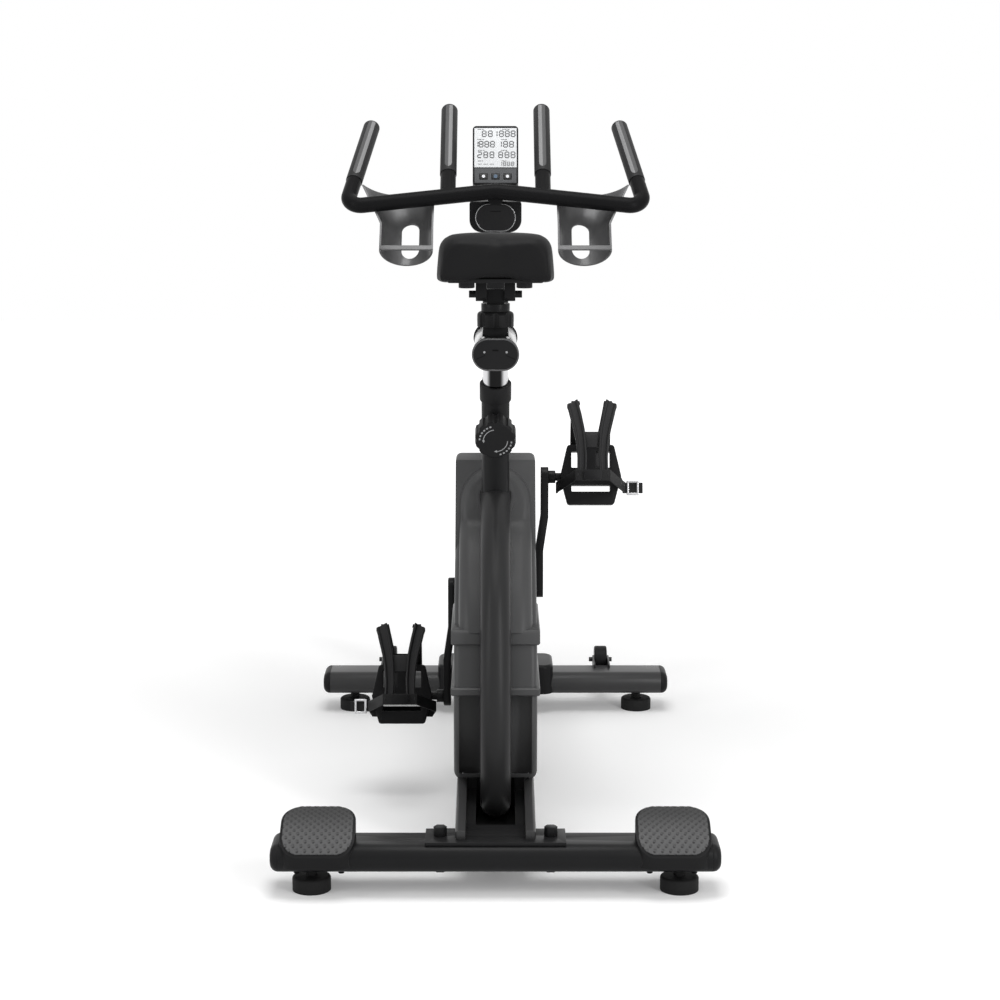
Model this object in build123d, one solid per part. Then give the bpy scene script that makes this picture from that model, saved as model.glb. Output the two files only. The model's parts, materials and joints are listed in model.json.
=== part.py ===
from build123d import *
import os
from math import asin, cos, degrees, hypot, radians, sin

# Exercise bike, millimetres. X is the rider's right, Y is forward, Z is up.
# The origin is on the floor, under the middle of the bike.

# Driving dimensions of the base
overall_width = 600.0
stabilizer_height = 38.0
stabilizer_depth = 80.0
stabilizer_wall = 2.5
stabilizer_z = 52.0
rear_y = -480.0
front_y = 440.0
end_cap_length = 12.0
end_cap_plug = 18.0
foot_inset = 53.0
foot_x = overall_width / 2 - foot_inset
foot_radius = 26.0
foot_height = 20.0
foot_edge = 4.0
foot_stud_radius = 5.0
foot_stud_length = 40.0
foot_nut_radius = 8.0
foot_nut_height = 8.0
pad_inset = 13.0
pad_width = 100.0
pad_inner_x = overall_width / 2 - pad_inset - pad_width
pad_rear_y = -527.0
pad_front_y = -432.0
pad_low_z = 59.5
pad_high_z = 102.0
pad_corner = 24.0
pad_front_corner = 45.0
pad_under_z = 43.0
pad_edge = 3.0
pad_crest_back = 8.0
pad_shoulder_drop = 10.0
pad_belly_back = 3.0
pad_belly_rise = 9.0
plate_width = 188.0
plate_depth = 60.0
plate_thick = 4.0
plate_bolt_x = 74.0
bolt_radius = 4.0
bolt_head_radius = 9.0
bolt_head_height = 7.0
pad_bolt_inset = 20.0
pad_bolt_head_radius = 7.0
pad_bolt_tail = 3.0
bolt_sink = 1.0

# A length beyond every piece, for cutting tools
far = 3 * overall_width

# Frame
cheek_inner_x = 40.0
cheek_thick = 6.0
column_thick = 14.0
column_edge = 4.0
column_top = (-320.0, 101.0)
column_front = (-300.0, 84.0)
cheek_heel = (-294.0, 101.0)
cheek_rear_low = (-298.0, 135.0)
cheek_rear_high = (-290.0, 250.0)
heel_inset = 12.0
heel_rise = 12.0
cheek_over_yoke = 20.0
cheek_under_beam = 24.0
cheek_nose_reach = 55.0
cheek_nose_up = 38.0
cheek_nose_down = 42.0
cheek_waist_back = 30.0
cheek_waist_down = 137.0
cheek_lap = 10.0
pin_sink = 1.0
tray_thick = 3.0
tray_flange = 4.0
tray_gap = 2.0
tray_lap = 8.0
beam_height = 43.0
beam_low_z = 48.0
beam_rear_y = -270.0
beam_wall = 3.0
block_width = 200.0
block_depth = 97.0
block_low_z = 37.0
block_high_z = 88.0
block_corner = 18.0
block_edge = 6.0
arc_centre_y = -45.0
arc_centre_z = 178.0
arc_radius = 320.0
arc_top_angle = 112.0
arc_low_angle = 192.5
arc_tube_radius = 21.5
tube_wall = 2.5
main_beam_radius = 22.0

# Seat column: one axis carries the tube, the post and the collar
seat_angle = 71.0
seat_ref_y = -232.0
seat_ref_z = 708.0
seat_tube_radius = 20.0
seat_post_radius = 17.7
post_gap = 0.3
seat_tube_low_z = 418.0
seat_post_low_z = 463.0
collar_radius = 22.5
collar_height = 19.0
collar_lip = 5.0
yoke_depth = 38.0
yoke_height = 30.0
seat_knob_z = 595.0
seat_knob_below_top = 53.0
seat_tube_top_z = seat_knob_z + seat_knob_below_top
collar_low_z = seat_tube_top_z - collar_height
seat_knob_radius = 29.0
knob_rod_radius = 5.0
knob_boss_radius = 13.0
knob_boss_reach = 12.0
knob_thick = 28.0
running_gap = 0.05
clear_gap = 0.3

# Front mast and handlebar post
mast_foot_y = 438.0
mast_foot_z = 88.0
mast_head_y = 295.0
mast_head_z = 841.0
mast_width = 42.0
mast_depth = 60.0
mast_corner = 10.0
mast_wall = 3.0
mast_top_z = 783.0
mast_foot_extra = 40.0
post_width = 30.0
post_depth = 44.0
post_corner = 8.0
post_wall = 3.0
post_inside = 210.0
bush_flange = 6.0
bush_sleeve = 40.0
mast_knob_z = 765.0
mast_knob_radius = 22.0
main_beam_mast_z = 593.0

# Shroud
shroud_radius = 290.0
shroud_wall = 3.0
shroud_low_z = 105.0
shroud_half_width = 58.5
shroud_top_z = 533.0
shroud_front_y = 100.0
shroud_edge = 9.0
shroud_top_corner = 9.0
shroud_low_corner = 14.0
shroud_crest_y = -112.0
shroud_crest_drop = 6.0
shroud_ridge_y = -80.0
shroud_brow_back = 20.0
shroud_brow_z = 408.0
shroud_face_high_z = 378.0
shroud_face_low_z = 273.0
shroud_toe_y = 30.0
body_inset = 22.0
body_radius = shroud_radius - body_inset
body_top_angle = arc_top_angle + 6.0
hood_half = 49.0
hood_edge = 14.0
hood_top_angle = arc_top_angle + 2.4
hood_over = 47.0
hood_top = (-125.0, arc_centre_z + shroud_radius + hood_over)
hood_arch = 48.0
hood_spring_z = hood_top[1] - hood_arch
hood_front_y = -100.0
lip_out = 4.0
lip_front_y = -130.0
upper_lip = (296.0, 316.0)
lower_lip = (228.0, 239.0)
rear_gap_half = 51.0
rear_gap_low_z = 114.0
floor_gap_half = 47.0
floor_cut_ratio = 1.2
panel_inset = 1.5
panel_low_z = 108.0
arc_slot_gap = 1.0
grommet_radius = 28.0
grommet_height = 7.0
axle_hole_radius = 15.0

# Drive
crank_y = -40.0
crank_z = 320.0
crank_length = 170.0
axle_radius = 10.0
bearing_width = 12.0
bearing_wall = 9.0
flywheel_y = -175.0
flywheel_z = 248.0
flywheel_run_gap = 19.35
flywheel_offset = hypot(flywheel_y - arc_centre_y, flywheel_z - arc_centre_z)
flywheel_radius = shroud_radius - shroud_wall - flywheel_run_gap - flywheel_offset
flywheel_x = -17.0
flywheel_thick = 26.0
flywheel_rim = 32.0
flywheel_web = 8.0
flywheel_shaft_radius = 8.0
flywheel_shaft_reach = 52.0
pulley_radius = 96.0
pulley_rim = 8.0
hub_ratio = 2.5
small_pulley_radius = 24.0
pulley_x = 20.0
pulley_width = 20.0
belt_width = 16.0
belt_thick = 3.0
belt_gap = 0.4
brake_low_angle = 35.0
brake_high_angle = 85.0
brake_gap = 4.0
brake_thick = 12.0
brake_width = 32.0
brake_pin_radius = 5.0
brake_boss_radius = 10.0


def slab(points, low_x, high_x):
    """A flat outline in the side view, given as (y, z) points, with thickness along X."""
    face = make_face(Polyline(*points, close=True))
    return extrude(Plane.YZ.offset(low_x) * face, high_x - low_x)


def block(low, high):
    """A box between two corners."""
    size = [high[i] - low[i] for i in range(3)]
    middle = [(high[i] + low[i]) / 2 for i in range(3)]
    return Pos(*middle) * Box(*size)


def rod(start, direction, radius, length):
    """A round bar from a point along a direction."""
    place = Plane(origin=start, z_dir=direction)
    return place * Cylinder(radius, length, align=(Align.CENTER, Align.CENTER, Align.MIN))


def pipe(start, direction, outer, inner, length):
    """A round tube from a point along a direction."""
    return rod(start, direction, outer, length) - rod(start, direction, inner, length)


def hexagon(start, direction, radius, length):
    """A hexagonal bolt head or nut, with its corner radius."""
    place = Plane(origin=start, z_dir=direction)
    return extrude(place * RegularPolygon(radius, 6), length)


def flat_oval(width, height, low_y, high_y, middle_z):
    """A flat-sided oval bar along Y."""
    place = Plane(origin=(0, low_y, middle_z), x_dir=(1, 0, 0), z_dir=(0, 1, 0))
    return extrude(place * SlotOverall(width, height), high_y - low_y)


def cross_oval(depth, height, middle_y, middle_z, low_x, high_x):
    """A flat-sided oval bar along X."""
    place = Plane.YZ.offset(low_x) * Pos(middle_y, middle_z)
    return extrude(place * SlotOverall(depth, height), high_x - low_x)


def mirrored(shape):
    """The same shape on the other side of the bike."""
    return mirror(shape, about=Plane.YZ)


def pair(shape):
    """A left and a right copy in one node."""
    return Compound(children=[shape, mirrored(shape)])


def group(shapes):
    """Several solids in one node."""
    return Compound(children=list(shapes))


# The seat column's directions: up along the tube, and square to it towards the rear
seat_up = (0, -cos(radians(seat_angle)), sin(radians(seat_angle)))
seat_rear = (0, -sin(radians(seat_angle)), -cos(radians(seat_angle)))


def seat_point(height, rearward=0.0):
    """A point on the seat column's axis at a height, moved square to the axis."""
    y = seat_ref_y + (seat_ref_z - height) * cos(radians(seat_angle)) / sin(radians(seat_angle))
    return (0, y + rearward * seat_rear[1], height + rearward * seat_rear[2])


def seat_length(low_z, high_z):
    """The length along the seat column between two heights."""
    return (high_z - low_z) / sin(radians(seat_angle))


# The mast's directions: up along it, and square to it towards the front
mast_run = hypot(mast_head_y - mast_foot_y, mast_head_z - mast_foot_z)
mast_up = (0, (mast_head_y - mast_foot_y) / mast_run, (mast_head_z - mast_foot_z) / mast_run)
mast_front = (0, mast_up[2], -mast_up[1])


def mast_point(height, forward=0.0):
    """A point on the mast's axis at a height, moved square to the axis."""
    along = (height - mast_foot_z) / mast_up[2]
    y = mast_foot_y + along * mast_up[1]
    return (0, y + forward * mast_front[1], height + forward * mast_front[2])


def mast_bar(low_z, length, width, depth, corner):
    """A rounded rectangular bar along the mast's axis."""
    place = Plane(origin=mast_point(low_z), x_dir=(1, 0, 0), z_dir=mast_up)
    return extrude(place * RectangleRounded(width, depth, corner), length)


def stabilizer(middle_y):
    """One cross tube, with the holes for its two foot studs."""
    reach = overall_width / 2 - end_cap_length
    inner_depth = stabilizer_depth - 2 * stabilizer_wall
    inner_height = stabilizer_height - 2 * stabilizer_wall
    tube = cross_oval(stabilizer_depth, stabilizer_height, middle_y, stabilizer_z, -reach, reach)
    tube -= cross_oval(inner_depth, inner_height, middle_y, stabilizer_z, -reach, reach)
    for side in (-1, 1):
        start = (side * foot_x, middle_y, stabilizer_z - stabilizer_height)
        tube -= rod(start, (0, 0, 1), foot_stud_radius + running_gap, stabilizer_height)
    return tube


def rear_stabilizer():
    tube = stabilizer(rear_y)
    for side in (-1, 1):
        start = (side * plate_bolt_x, rear_y, stabilizer_z - stabilizer_height)
        tube -= rod(start, (0, 0, 1), bolt_radius, 2 * stabilizer_height)
    return tube


def end_cap(middle_y):
    """A rounded plastic plug in a stabilizer's right end."""
    reach = overall_width / 2
    seat = reach - end_cap_length
    cap = cross_oval(stabilizer_depth, stabilizer_height, middle_y, stabilizer_z, seat, reach)
    cap = fillet(cap.faces().sort_by(Axis.X)[-1].edges(), end_cap_length * 0.9)
    inner_depth = stabilizer_depth - 2 * stabilizer_wall
    inner_height = stabilizer_height - 2 * stabilizer_wall
    return cap + cross_oval(inner_depth, inner_height, middle_y, stabilizer_z, seat - end_cap_plug, seat)


def stabilizer_end_caps():
    rear = end_cap(rear_y)
    front = end_cap(front_y)
    return group([rear, mirrored(rear), front, mirrored(front)])


def stretch_pad():
    """A foot rest that wraps the rear tube, low at the rear and high at the front."""
    rear_low = (pad_rear_y, pad_under_z)
    rear_high = (pad_rear_y, pad_low_z)
    crest = (pad_front_y - pad_crest_back, pad_high_z)
    shoulder = (pad_front_y, pad_high_z - pad_shoulder_drop)
    front_low = (pad_front_y, pad_under_z)
    belly_y = (rear_high[0] + crest[0]) / 2 - pad_belly_back
    belly = (belly_y, (rear_high[1] + crest[1]) / 2 + pad_belly_rise)
    outline = make_face(
        [
            Line(rear_low, rear_high),
            ThreePointArc(rear_high, belly, crest),
            Line(crest, shoulder),
            Line(shoulder, front_low),
            Line(front_low, rear_low),
        ]
    )
    pad = extrude(Plane.YZ.offset(pad_inner_x) * outline, pad_width)
    depth = pad_front_y - pad_rear_y
    middle_x = pad_inner_x + pad_width / 2
    rear_plan = Pos(middle_x, (pad_front_y + pad_rear_y) / 2) * RectangleRounded(pad_width, depth, pad_corner)
    front_plan = Pos(middle_x, pad_front_y - depth) * RectangleRounded(pad_width, 2 * depth, pad_front_corner)
    pad = pad & extrude(rear_plan & front_plan, pad_high_z)
    reach = overall_width / 2
    pad -= cross_oval(stabilizer_depth, stabilizer_height, rear_y, stabilizer_z, 0, reach)
    return fillet(pad.edges().group_by(Axis.Z)[-1], pad_edge)


def base_bolts():
    """Two through bolts in the rear plate, and the bolts under each stretch pad."""
    plate_top = stabilizer_z + stabilizer_height / 2 + plate_thick
    tube_low = stabilizer_z - stabilizer_height / 2
    bolts = []
    for side in (-1, 1):
        low = (side * plate_bolt_x, rear_y, tube_low - bolt_head_height)
        top = (side * plate_bolt_x, rear_y, plate_top)
        bolt = rod(low, (0, 0, 1), bolt_radius, plate_top - low[2] + bolt_sink)
        bolt += hexagon(low, (0, 0, 1), bolt_head_radius, bolt_head_height)
        bolt += hexagon(top, (0, 0, 1), bolt_head_radius, bolt_head_height)
        bolts.append(bolt)
        for x in (pad_inner_x + pad_bolt_inset, pad_inner_x + pad_width - pad_bolt_inset):
            start = (side * x, rear_y, tube_low)
            nut = hexagon(start, (0, 0, -1), pad_bolt_head_radius, bolt_head_height)
            nut += rod(start, (0, 0, -1), bolt_radius, bolt_head_height + pad_bolt_tail)
            bolts.append(nut)
    return group(bolts)


def levelling_foot(side, middle_y):
    """A rubber foot on a threaded stud, with its lock nut."""
    foot = rod((side * foot_x, middle_y, 0), (0, 0, 1), foot_radius, foot_height)
    foot = fillet(foot.edges().group_by(Axis.Z)[-1], foot_edge)
    top = (side * foot_x, middle_y, foot_height)
    foot += hexagon(top, (0, 0, 1), foot_nut_radius, foot_nut_height)
    return foot + rod(top, (0, 0, 1), foot_stud_radius, foot_stud_length)


def rear_base():
    """The two side cheeks that carry the drive, and the plate and tray that join them to the rear tube."""
    plate_low = stabilizer_z + stabilizer_height / 2
    plate_top = plate_low + plate_thick
    half_depth = plate_depth / 2
    half_width = plate_width / 2
    plate = block(
        (-half_width, rear_y - half_depth, plate_low), (half_width, rear_y + half_depth, plate_top)
    )
    for side in (-1, 1):
        plate -= rod((side * plate_bolt_x, rear_y, plate_low), (0, 0, 1), bolt_radius, plate_thick)
    heel_y = rear_y - half_depth + heel_inset
    toe_y = rear_y + half_depth
    tray_y = rear_y + stabilizer_depth / 2 + tray_gap
    flange_y = tray_y + tray_flange
    tray_low = beam_low_z - tray_thick
    plate += block((-cheek_inner_x, toe_y, plate_low), (cheek_inner_x, flange_y, plate_top))
    plate += block((-cheek_inner_x, tray_y, tray_low), (cheek_inner_x, flange_y, plate_top))
    tray_end = (cheek_inner_x, beam_rear_y + tray_lap, beam_low_z)
    plate += block((-cheek_inner_x, tray_y, tray_low), tray_end)
    yoke = seat_point(seat_tube_low_z)
    top_z = yoke[2] + yoke_height / 2
    nose_y = crank_y + cheek_nose_reach
    waist_y = crank_y - cheek_waist_back
    outline = [
        (heel_y, plate_top), (heel_y, plate_top + heel_rise), column_top, cheek_heel, cheek_rear_low,
        cheek_rear_high,
        (yoke[1] - cheek_over_yoke, top_z), (yoke[1] + cheek_under_beam, top_z),
        (nose_y, crank_z + cheek_nose_up), (nose_y, crank_z - cheek_nose_down),
        (waist_y, crank_z - cheek_waist_down), (waist_y, beam_low_z),
        (beam_rear_y - cheek_lap, beam_low_z), (toe_y, plate_top),
    ]
    cheek = slab(outline, cheek_inner_x, cheek_inner_x + cheek_thick)
    column = [
        (heel_y, plate_top), (heel_y, plate_top + heel_rise), column_top, column_front, (toe_y, plate_top),
    ]
    post = slab(column, cheek_inner_x, cheek_inner_x + column_thick)
    post = fillet(post.edges().filter_by(GeomType.LINE).group_by(Axis.X)[-1], column_edge)
    cheek += post
    for y, z in ((crank_y, crank_z), (flywheel_y, flywheel_z)):
        shaft = axle_radius if y == crank_y else flywheel_shaft_radius
        cheek -= rod((0, y, z), (1, 0, 0), shaft + bearing_wall, 2 * cheek_inner_x)
    left = mirrored(cheek)
    pin_y, pin_z = brake_pivot()
    pin_start = (-cheek_inner_x - pin_sink, pin_y, pin_z)
    left += rod(pin_start, (1, 0, 0), brake_pin_radius, cheek_inner_x + pin_sink)
    return group([plate, cheek, left])


def base_beam():
    """The floor beam from the cheeks to the block that holds the front tube."""
    front_face = front_y - block_depth / 2
    top_z = beam_low_z + beam_height
    low = (-cheek_inner_x, beam_rear_y, beam_low_z)
    high = (cheek_inner_x, front_face, top_z)
    beam = block(low, high)
    inset_low = (low[0] + beam_wall, low[1] + beam_wall, low[2] + beam_wall)
    inset_high = (high[0] - beam_wall, high[1] - beam_wall, high[2] - beam_wall)
    beam -= block(inset_low, inset_high)
    half = block_width / 2
    holder = block((-half, front_face, block_low_z), (half, front_face + block_depth, block_high_z))
    holder = fillet(holder.edges().filter_by(Axis.Z), block_corner)
    holder = fillet(holder.edges().group_by(Axis.Z)[-1], block_edge)
    holder -= cross_oval(stabilizer_depth, stabilizer_height, front_y, stabilizer_z, -half, half)
    return group([beam, holder])


def arc_path():
    """The bowed centre line from the seat tube, round the rear and forward into the floor beam."""
    def on_circle(y, z, radius, angle):
        return (0, y + radius * cos(radians(angle)), z + radius * sin(radians(angle)))

    start = on_circle(arc_centre_y, arc_centre_z, arc_radius, arc_top_angle)
    middle = on_circle(arc_centre_y, arc_centre_z, arc_radius, (arc_top_angle + arc_low_angle) / 2)
    end = on_circle(arc_centre_y, arc_centre_z, arc_radius, arc_low_angle)
    low_z = beam_low_z + beam_height / 2
    turn = (end[2] - low_z) / (1 + sin(radians(arc_low_angle)))
    turn_y = end[1] - turn * cos(radians(arc_low_angle))
    turn_z = low_z + turn
    elbow = on_circle(turn_y, turn_z, turn, (arc_low_angle + 270) / 2)
    foot = (0, turn_y, low_z)
    line = ThreePointArc(start, middle, end) + ThreePointArc(end, elbow, foot)
    return line + Line(foot, (0, beam_rear_y, low_z))


def arc_bar(radius):
    """A round bar along the arc tube's centre line, with a short run into the seat tube."""
    line = arc_path()
    start = line.edges()[0] @ 0
    heading = line.edges()[0] % 0
    place = Plane(origin=start, z_dir=heading)
    bar = sweep(place * Circle(radius), path=line)
    inward = tuple(-heading)
    return bar + rod(tuple(start), inward, radius, seat_tube_radius) + Pos(*tuple(start)) * Sphere(radius)


def arc_tube():
    length = seat_length(seat_tube_low_z, seat_tube_top_z)
    column = rod(seat_point(seat_tube_low_z), seat_up, seat_tube_radius, length)
    return arc_bar(arc_tube_radius) - arc_bar(arc_tube_radius - tube_wall) - column


def yoke_box():
    """The cross block between the cheeks that holds the seat tube's foot."""
    middle = seat_point(seat_tube_low_z)
    low = (-cheek_inner_x, middle[1] - yoke_depth / 2, middle[2] - yoke_height / 2)
    high = (cheek_inner_x, middle[1] + yoke_depth / 2, middle[2] + yoke_height / 2)
    return block(low, high)


def seat_tube():
    foot = seat_point(seat_tube_low_z)
    length = seat_length(seat_tube_low_z, seat_tube_top_z)
    tube = rod(foot, seat_up, seat_tube_radius, length) + yoke_box()
    tube += rod(seat_point(seat_knob_z), seat_rear, knob_boss_radius, seat_tube_radius + knob_boss_reach)
    bore_start = seat_point(seat_tube_low_z + yoke_height)
    tube -= rod(bore_start, seat_up, seat_post_radius + post_gap, length)
    hole_reach = seat_tube_radius + knob_boss_reach
    return tube - rod(seat_point(seat_knob_z), seat_rear, knob_rod_radius + running_gap, hole_reach)


def post_bushes():
    """The collar on top of the seat tube, and the bush in the mast's mouth."""
    collar_length = seat_length(collar_low_z, seat_tube_top_z) + collar_lip
    collar = rod(seat_point(collar_low_z), seat_up, collar_radius, collar_length)
    collar -= rod(seat_point(collar_low_z), seat_up, seat_tube_radius, collar_length - collar_lip)
    collar -= rod(seat_point(collar_low_z), seat_up, seat_post_radius + post_gap, collar_length)
    sleeve_low = mast_top_z - bush_sleeve * mast_up[2]
    bush = mast_bar(mast_top_z, bush_flange, mast_width, mast_depth, mast_corner)
    inner_width = mast_width - 2 * mast_wall
    inner_depth = mast_depth - 2 * mast_wall
    bush += mast_bar(sleeve_low, bush_sleeve, inner_width, inner_depth, mast_corner - mast_wall)
    hole_width = post_width + 2 * clear_gap
    hole_depth = post_depth + 2 * clear_gap
    bush -= mast_bar(sleeve_low, bush_sleeve + bush_flange, hole_width, hole_depth, post_corner + clear_gap)
    bush -= rod(mast_point(mast_knob_z), mast_front, knob_rod_radius + running_gap, mast_depth)
    return group([collar, bush])


def mast_solid():
    """The mast's full outer bar, cut level on the front block."""
    length = (mast_top_z - mast_foot_z) / mast_up[2] + mast_foot_extra
    foot_z = mast_foot_z - mast_foot_extra * mast_up[2]
    bar = mast_bar(foot_z, length, mast_width, mast_depth, mast_corner)
    return bar - block((-far, -far, -far), (far, far, block_high_z))


def front_mast():
    mast = mast_solid()
    mast += rod(mast_point(mast_knob_z), mast_front, knob_boss_radius, mast_depth / 2 + knob_boss_reach)
    length = (mast_top_z - mast_foot_z) / mast_up[2]
    inner_width = mast_width - 2 * mast_wall
    inner_depth = mast_depth - 2 * mast_wall
    hollow_low = mast_foot_z + beam_height
    mast -= mast_bar(hollow_low, length, inner_width, inner_depth, mast_corner - mast_wall)
    reach = mast_depth / 2 + knob_boss_reach
    return mast - rod(mast_point(mast_knob_z), mast_front, knob_rod_radius + running_gap, reach)


# The main beam's ends and directions, from the yoke up to the mast
beam_tail = seat_point(seat_tube_low_z)
beam_head = mast_point(main_beam_mast_z)
beam_run = hypot(beam_head[1] - beam_tail[1], beam_head[2] - beam_tail[2])
beam_forward = (0, (beam_head[1] - beam_tail[1]) / beam_run, (beam_head[2] - beam_tail[2]) / beam_run)
beam_top = (0, -beam_forward[2], beam_forward[1])


def beam_point(along, above=0.0):
    """A point on the main beam's axis, moved square to it."""
    y = beam_tail[1] + along * beam_forward[1] + above * beam_top[1]
    return (0, y, beam_tail[2] + along * beam_forward[2] + above * beam_top[2])


resistance_along = 290.0
resistance_radius = 22.0
resistance_height = 40.0
resistance_boss_reach = 8.0


def main_beam():
    """The sloping tube from the yoke to the mast, with the boss of the resistance knob."""
    beam = pipe(beam_tail, beam_forward, main_beam_radius, main_beam_radius - tube_wall, beam_run)
    boss_start = beam_point(resistance_along, main_beam_radius - tube_wall)
    boss = rod(boss_start, beam_top, knob_boss_radius, tube_wall + resistance_boss_reach)
    beam += boss
    beam -= rod(beam_point(resistance_along), beam_top, knob_rod_radius + running_gap, 2 * main_beam_radius)
    beam -= mast_solid()
    beam -= yoke_box()
    column_length = seat_length(seat_tube_low_z, seat_tube_top_z)
    beam -= rod(seat_point(seat_tube_low_z), seat_up, seat_tube_radius, column_length)
    return beam.solids().sort_by(SortBy.VOLUME)[-1]


def rear_curve(radius, angle):
    """A point in the side view on a circle about the arc tube's centre."""
    turn = radians(angle)
    return (arc_centre_y + radius * cos(turn), arc_centre_z + radius * sin(turn))


def curved_slab(radius, low_z, top_angle, points, half, edge):
    """A slab with a round rear, from a height up to an angle, whose rear side edges are rounded."""
    below = degrees(asin((arc_centre_z - low_z) / radius))
    start = rear_curve(radius, 180 + below)
    top = rear_curve(radius, top_angle)
    outline = [top, *points, start]
    edges = [ThreePointArc(start, rear_curve(radius, (180 + below + top_angle) / 2), top)]
    for first, second in zip(outline, outline[1:]):
        edges.append(Line(first, second))
    form = extrude(Plane.YZ * make_face(edges), half, both=True)
    return fillet(form.edges().filter_by(GeomType.CIRCLE), edge)


def shroud_profile(inset):
    """The cover's outline from behind, as a long bar: straight sides and rounded corners."""
    half = shroud_half_width - inset
    low_z = shroud_low_z + inset
    top_z = shroud_top_z - inset
    face = make_face(Polyline((-half, low_z), (half, low_z), (half, top_z), (-half, top_z), close=True))
    face = fillet(face.vertices().group_by(Axis.Y)[0], shroud_low_corner - inset)
    face = fillet(face.vertices().group_by(Axis.Y)[-1][-2:], shroud_top_corner - inset)
    return extrude(Plane.XZ * face, far, both=True)


def shroud_body(inset):
    """The main cover, set in from the hood on its rear."""
    top_z = shroud_top_z - inset
    low_z = shroud_low_z + inset
    front_y = shroud_front_y - inset
    points = [
        (shroud_crest_y + 0.4 * inset, top_z - shroud_crest_drop), (shroud_ridge_y, top_z),
        (front_y - shroud_brow_back, shroud_brow_z - inset), (front_y, shroud_face_high_z - inset),
        (front_y, shroud_face_low_z), (shroud_toe_y - inset, low_z),
    ]
    half = shroud_half_width - inset
    form = curved_slab(body_radius - inset, low_z, body_top_angle, points, half, shroud_edge - inset)
    return form & shroud_profile(inset)


def shroud_hood(inset):
    """The raised rear hood under the arc tube, arched at its top."""
    half = hood_half - inset
    top = (hood_top[0] + 0.9 * inset, hood_top[1] - 0.5 * inset)
    points = [top, (hood_front_y, top[1]), (hood_front_y, upper_lip[0])]
    radius = shroud_radius - inset
    form = curved_slab(radius, upper_lip[0], hood_top_angle, points, half, hood_edge - inset)
    arch = make_face(
        [
            Line((-half, upper_lip[0]), (half, upper_lip[0])),
            Line((half, upper_lip[0]), (half, hood_spring_z)),
            ThreePointArc((half, hood_spring_z), (0, top[1]), (-half, hood_spring_z)),
            Line((-half, hood_spring_z), (-half, upper_lip[0])),
        ]
    )
    return form & extrude(Plane.XZ * arch, far, both=True)


def shroud_skirt(inset):
    """The wider lower cover behind the flywheel."""
    high_z = upper_lip[1] - inset
    radius = shroud_radius - inset
    low_z = shroud_low_z + inset
    top_angle = 180 - degrees(asin((high_z - arc_centre_z) / radius))
    points = [(hood_front_y, high_z), (hood_front_y, low_z)]
    form = curved_slab(radius, low_z, top_angle, points, shroud_half_width - inset, shroud_edge - inset)
    return form & shroud_profile(inset)


def shroud_form(inset):
    """The cover's closed outer form, or its inside when it is inset by the wall."""
    return shroud_body(inset) + shroud_skirt(inset) + shroud_hood(inset)


def shroud_lip(low_z, high_z):
    """A raised band round the rear and the sides."""
    half = shroud_half_width + lip_out
    band = rod((-half, arc_centre_y, arc_centre_z), (1, 0, 0), shroud_radius + lip_out, 2 * half)
    band = band & block((-half, -far, low_z), (half, lip_front_y, high_z))
    return chamfer(band.edges().filter_by(lambda line: line.center().Y < lip_front_y), lip_out / 2)


def shroud_collar():
    """The raised ring where the seat tube leaves the hood."""
    wall_y, wall_z = rear_curve(shroud_radius, hood_top_angle)
    run = hypot(hood_top[0] - wall_y, hood_top[1] - wall_z)
    out_y = -(hood_top[1] - wall_z) / run * grommet_height
    out_z = (hood_top[0] - wall_y) / run * grommet_height
    rise = [
        (wall_y, wall_z), hood_top,
        (hood_top[0] + out_y, hood_top[1] + out_z), (wall_y + out_y, wall_z + out_z),
    ]
    length = seat_length(seat_tube_low_z, seat_tube_top_z)
    column = rod(seat_point(seat_tube_low_z), seat_up, grommet_radius, length)
    return slab(rise, -grommet_radius, grommet_radius) & column


def shroud_panel():
    """The inner rear wall, set back behind the opening under the lower lip."""
    half = shroud_half_width - panel_inset
    wall = pipe((-half, arc_centre_y, arc_centre_z), (1, 0, 0), body_radius, body_radius - shroud_wall, 2 * half)
    return wall & block((-half, -far, panel_low_z), (half, lip_front_y, lower_lip[1]))


def shroud():
    """The whole drive cover as one shell, before it is split down the middle."""
    outer = shroud_form(0)
    for low_z, high_z in (upper_lip, lower_lip):
        outer += shroud_lip(low_z, high_z)
    outer += shroud_collar()
    shell = outer - shroud_form(shroud_wall)
    reach = 2 * shroud_half_width
    opening = block((-rear_gap_half, -far, rear_gap_low_z), (rear_gap_half, lip_front_y, lower_lip[0]))
    shell -= opening - rod((-reach, arc_centre_y, arc_centre_z), (1, 0, 0), body_radius, 2 * reach)
    floor_z = shroud_low_z + floor_cut_ratio * shroud_wall
    shell -= block((-floor_gap_half, -far, -far), (floor_gap_half, far, floor_z))
    shell += shroud_panel()
    column_length = seat_length(seat_tube_low_z, seat_tube_top_z)
    shell -= rod(seat_point(seat_tube_low_z), seat_up, seat_tube_radius + clear_gap, column_length)
    shell -= rod(beam_tail, beam_forward, main_beam_radius + clear_gap, beam_run)
    shell -= arc_bar(arc_tube_radius + arc_slot_gap)
    return shell - rod((-reach, crank_y, crank_z), (1, 0, 0), axle_hole_radius, 2 * reach)


def shroud_half():
    piece = shroud() & block((0, -far, -far), (far, far, far))
    return piece.solids().sort_by(SortBy.VOLUME)[-1]


def bearing(side, y, z, shaft):
    """A ring bearing seated in a cheek."""
    start = (side * (cheek_inner_x + cheek_thick / 2 - bearing_width / 2), y, z)
    return pipe(start, (side, 0, 0), shaft + bearing_wall, shaft + running_gap, bearing_width)


def drive_bearings():
    rings = []
    for side in (-1, 1):
        rings.append(bearing(side, crank_y, crank_z, axle_radius))
        rings.append(bearing(side, flywheel_y, flywheel_z, flywheel_shaft_radius))
    return group(rings)


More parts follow.
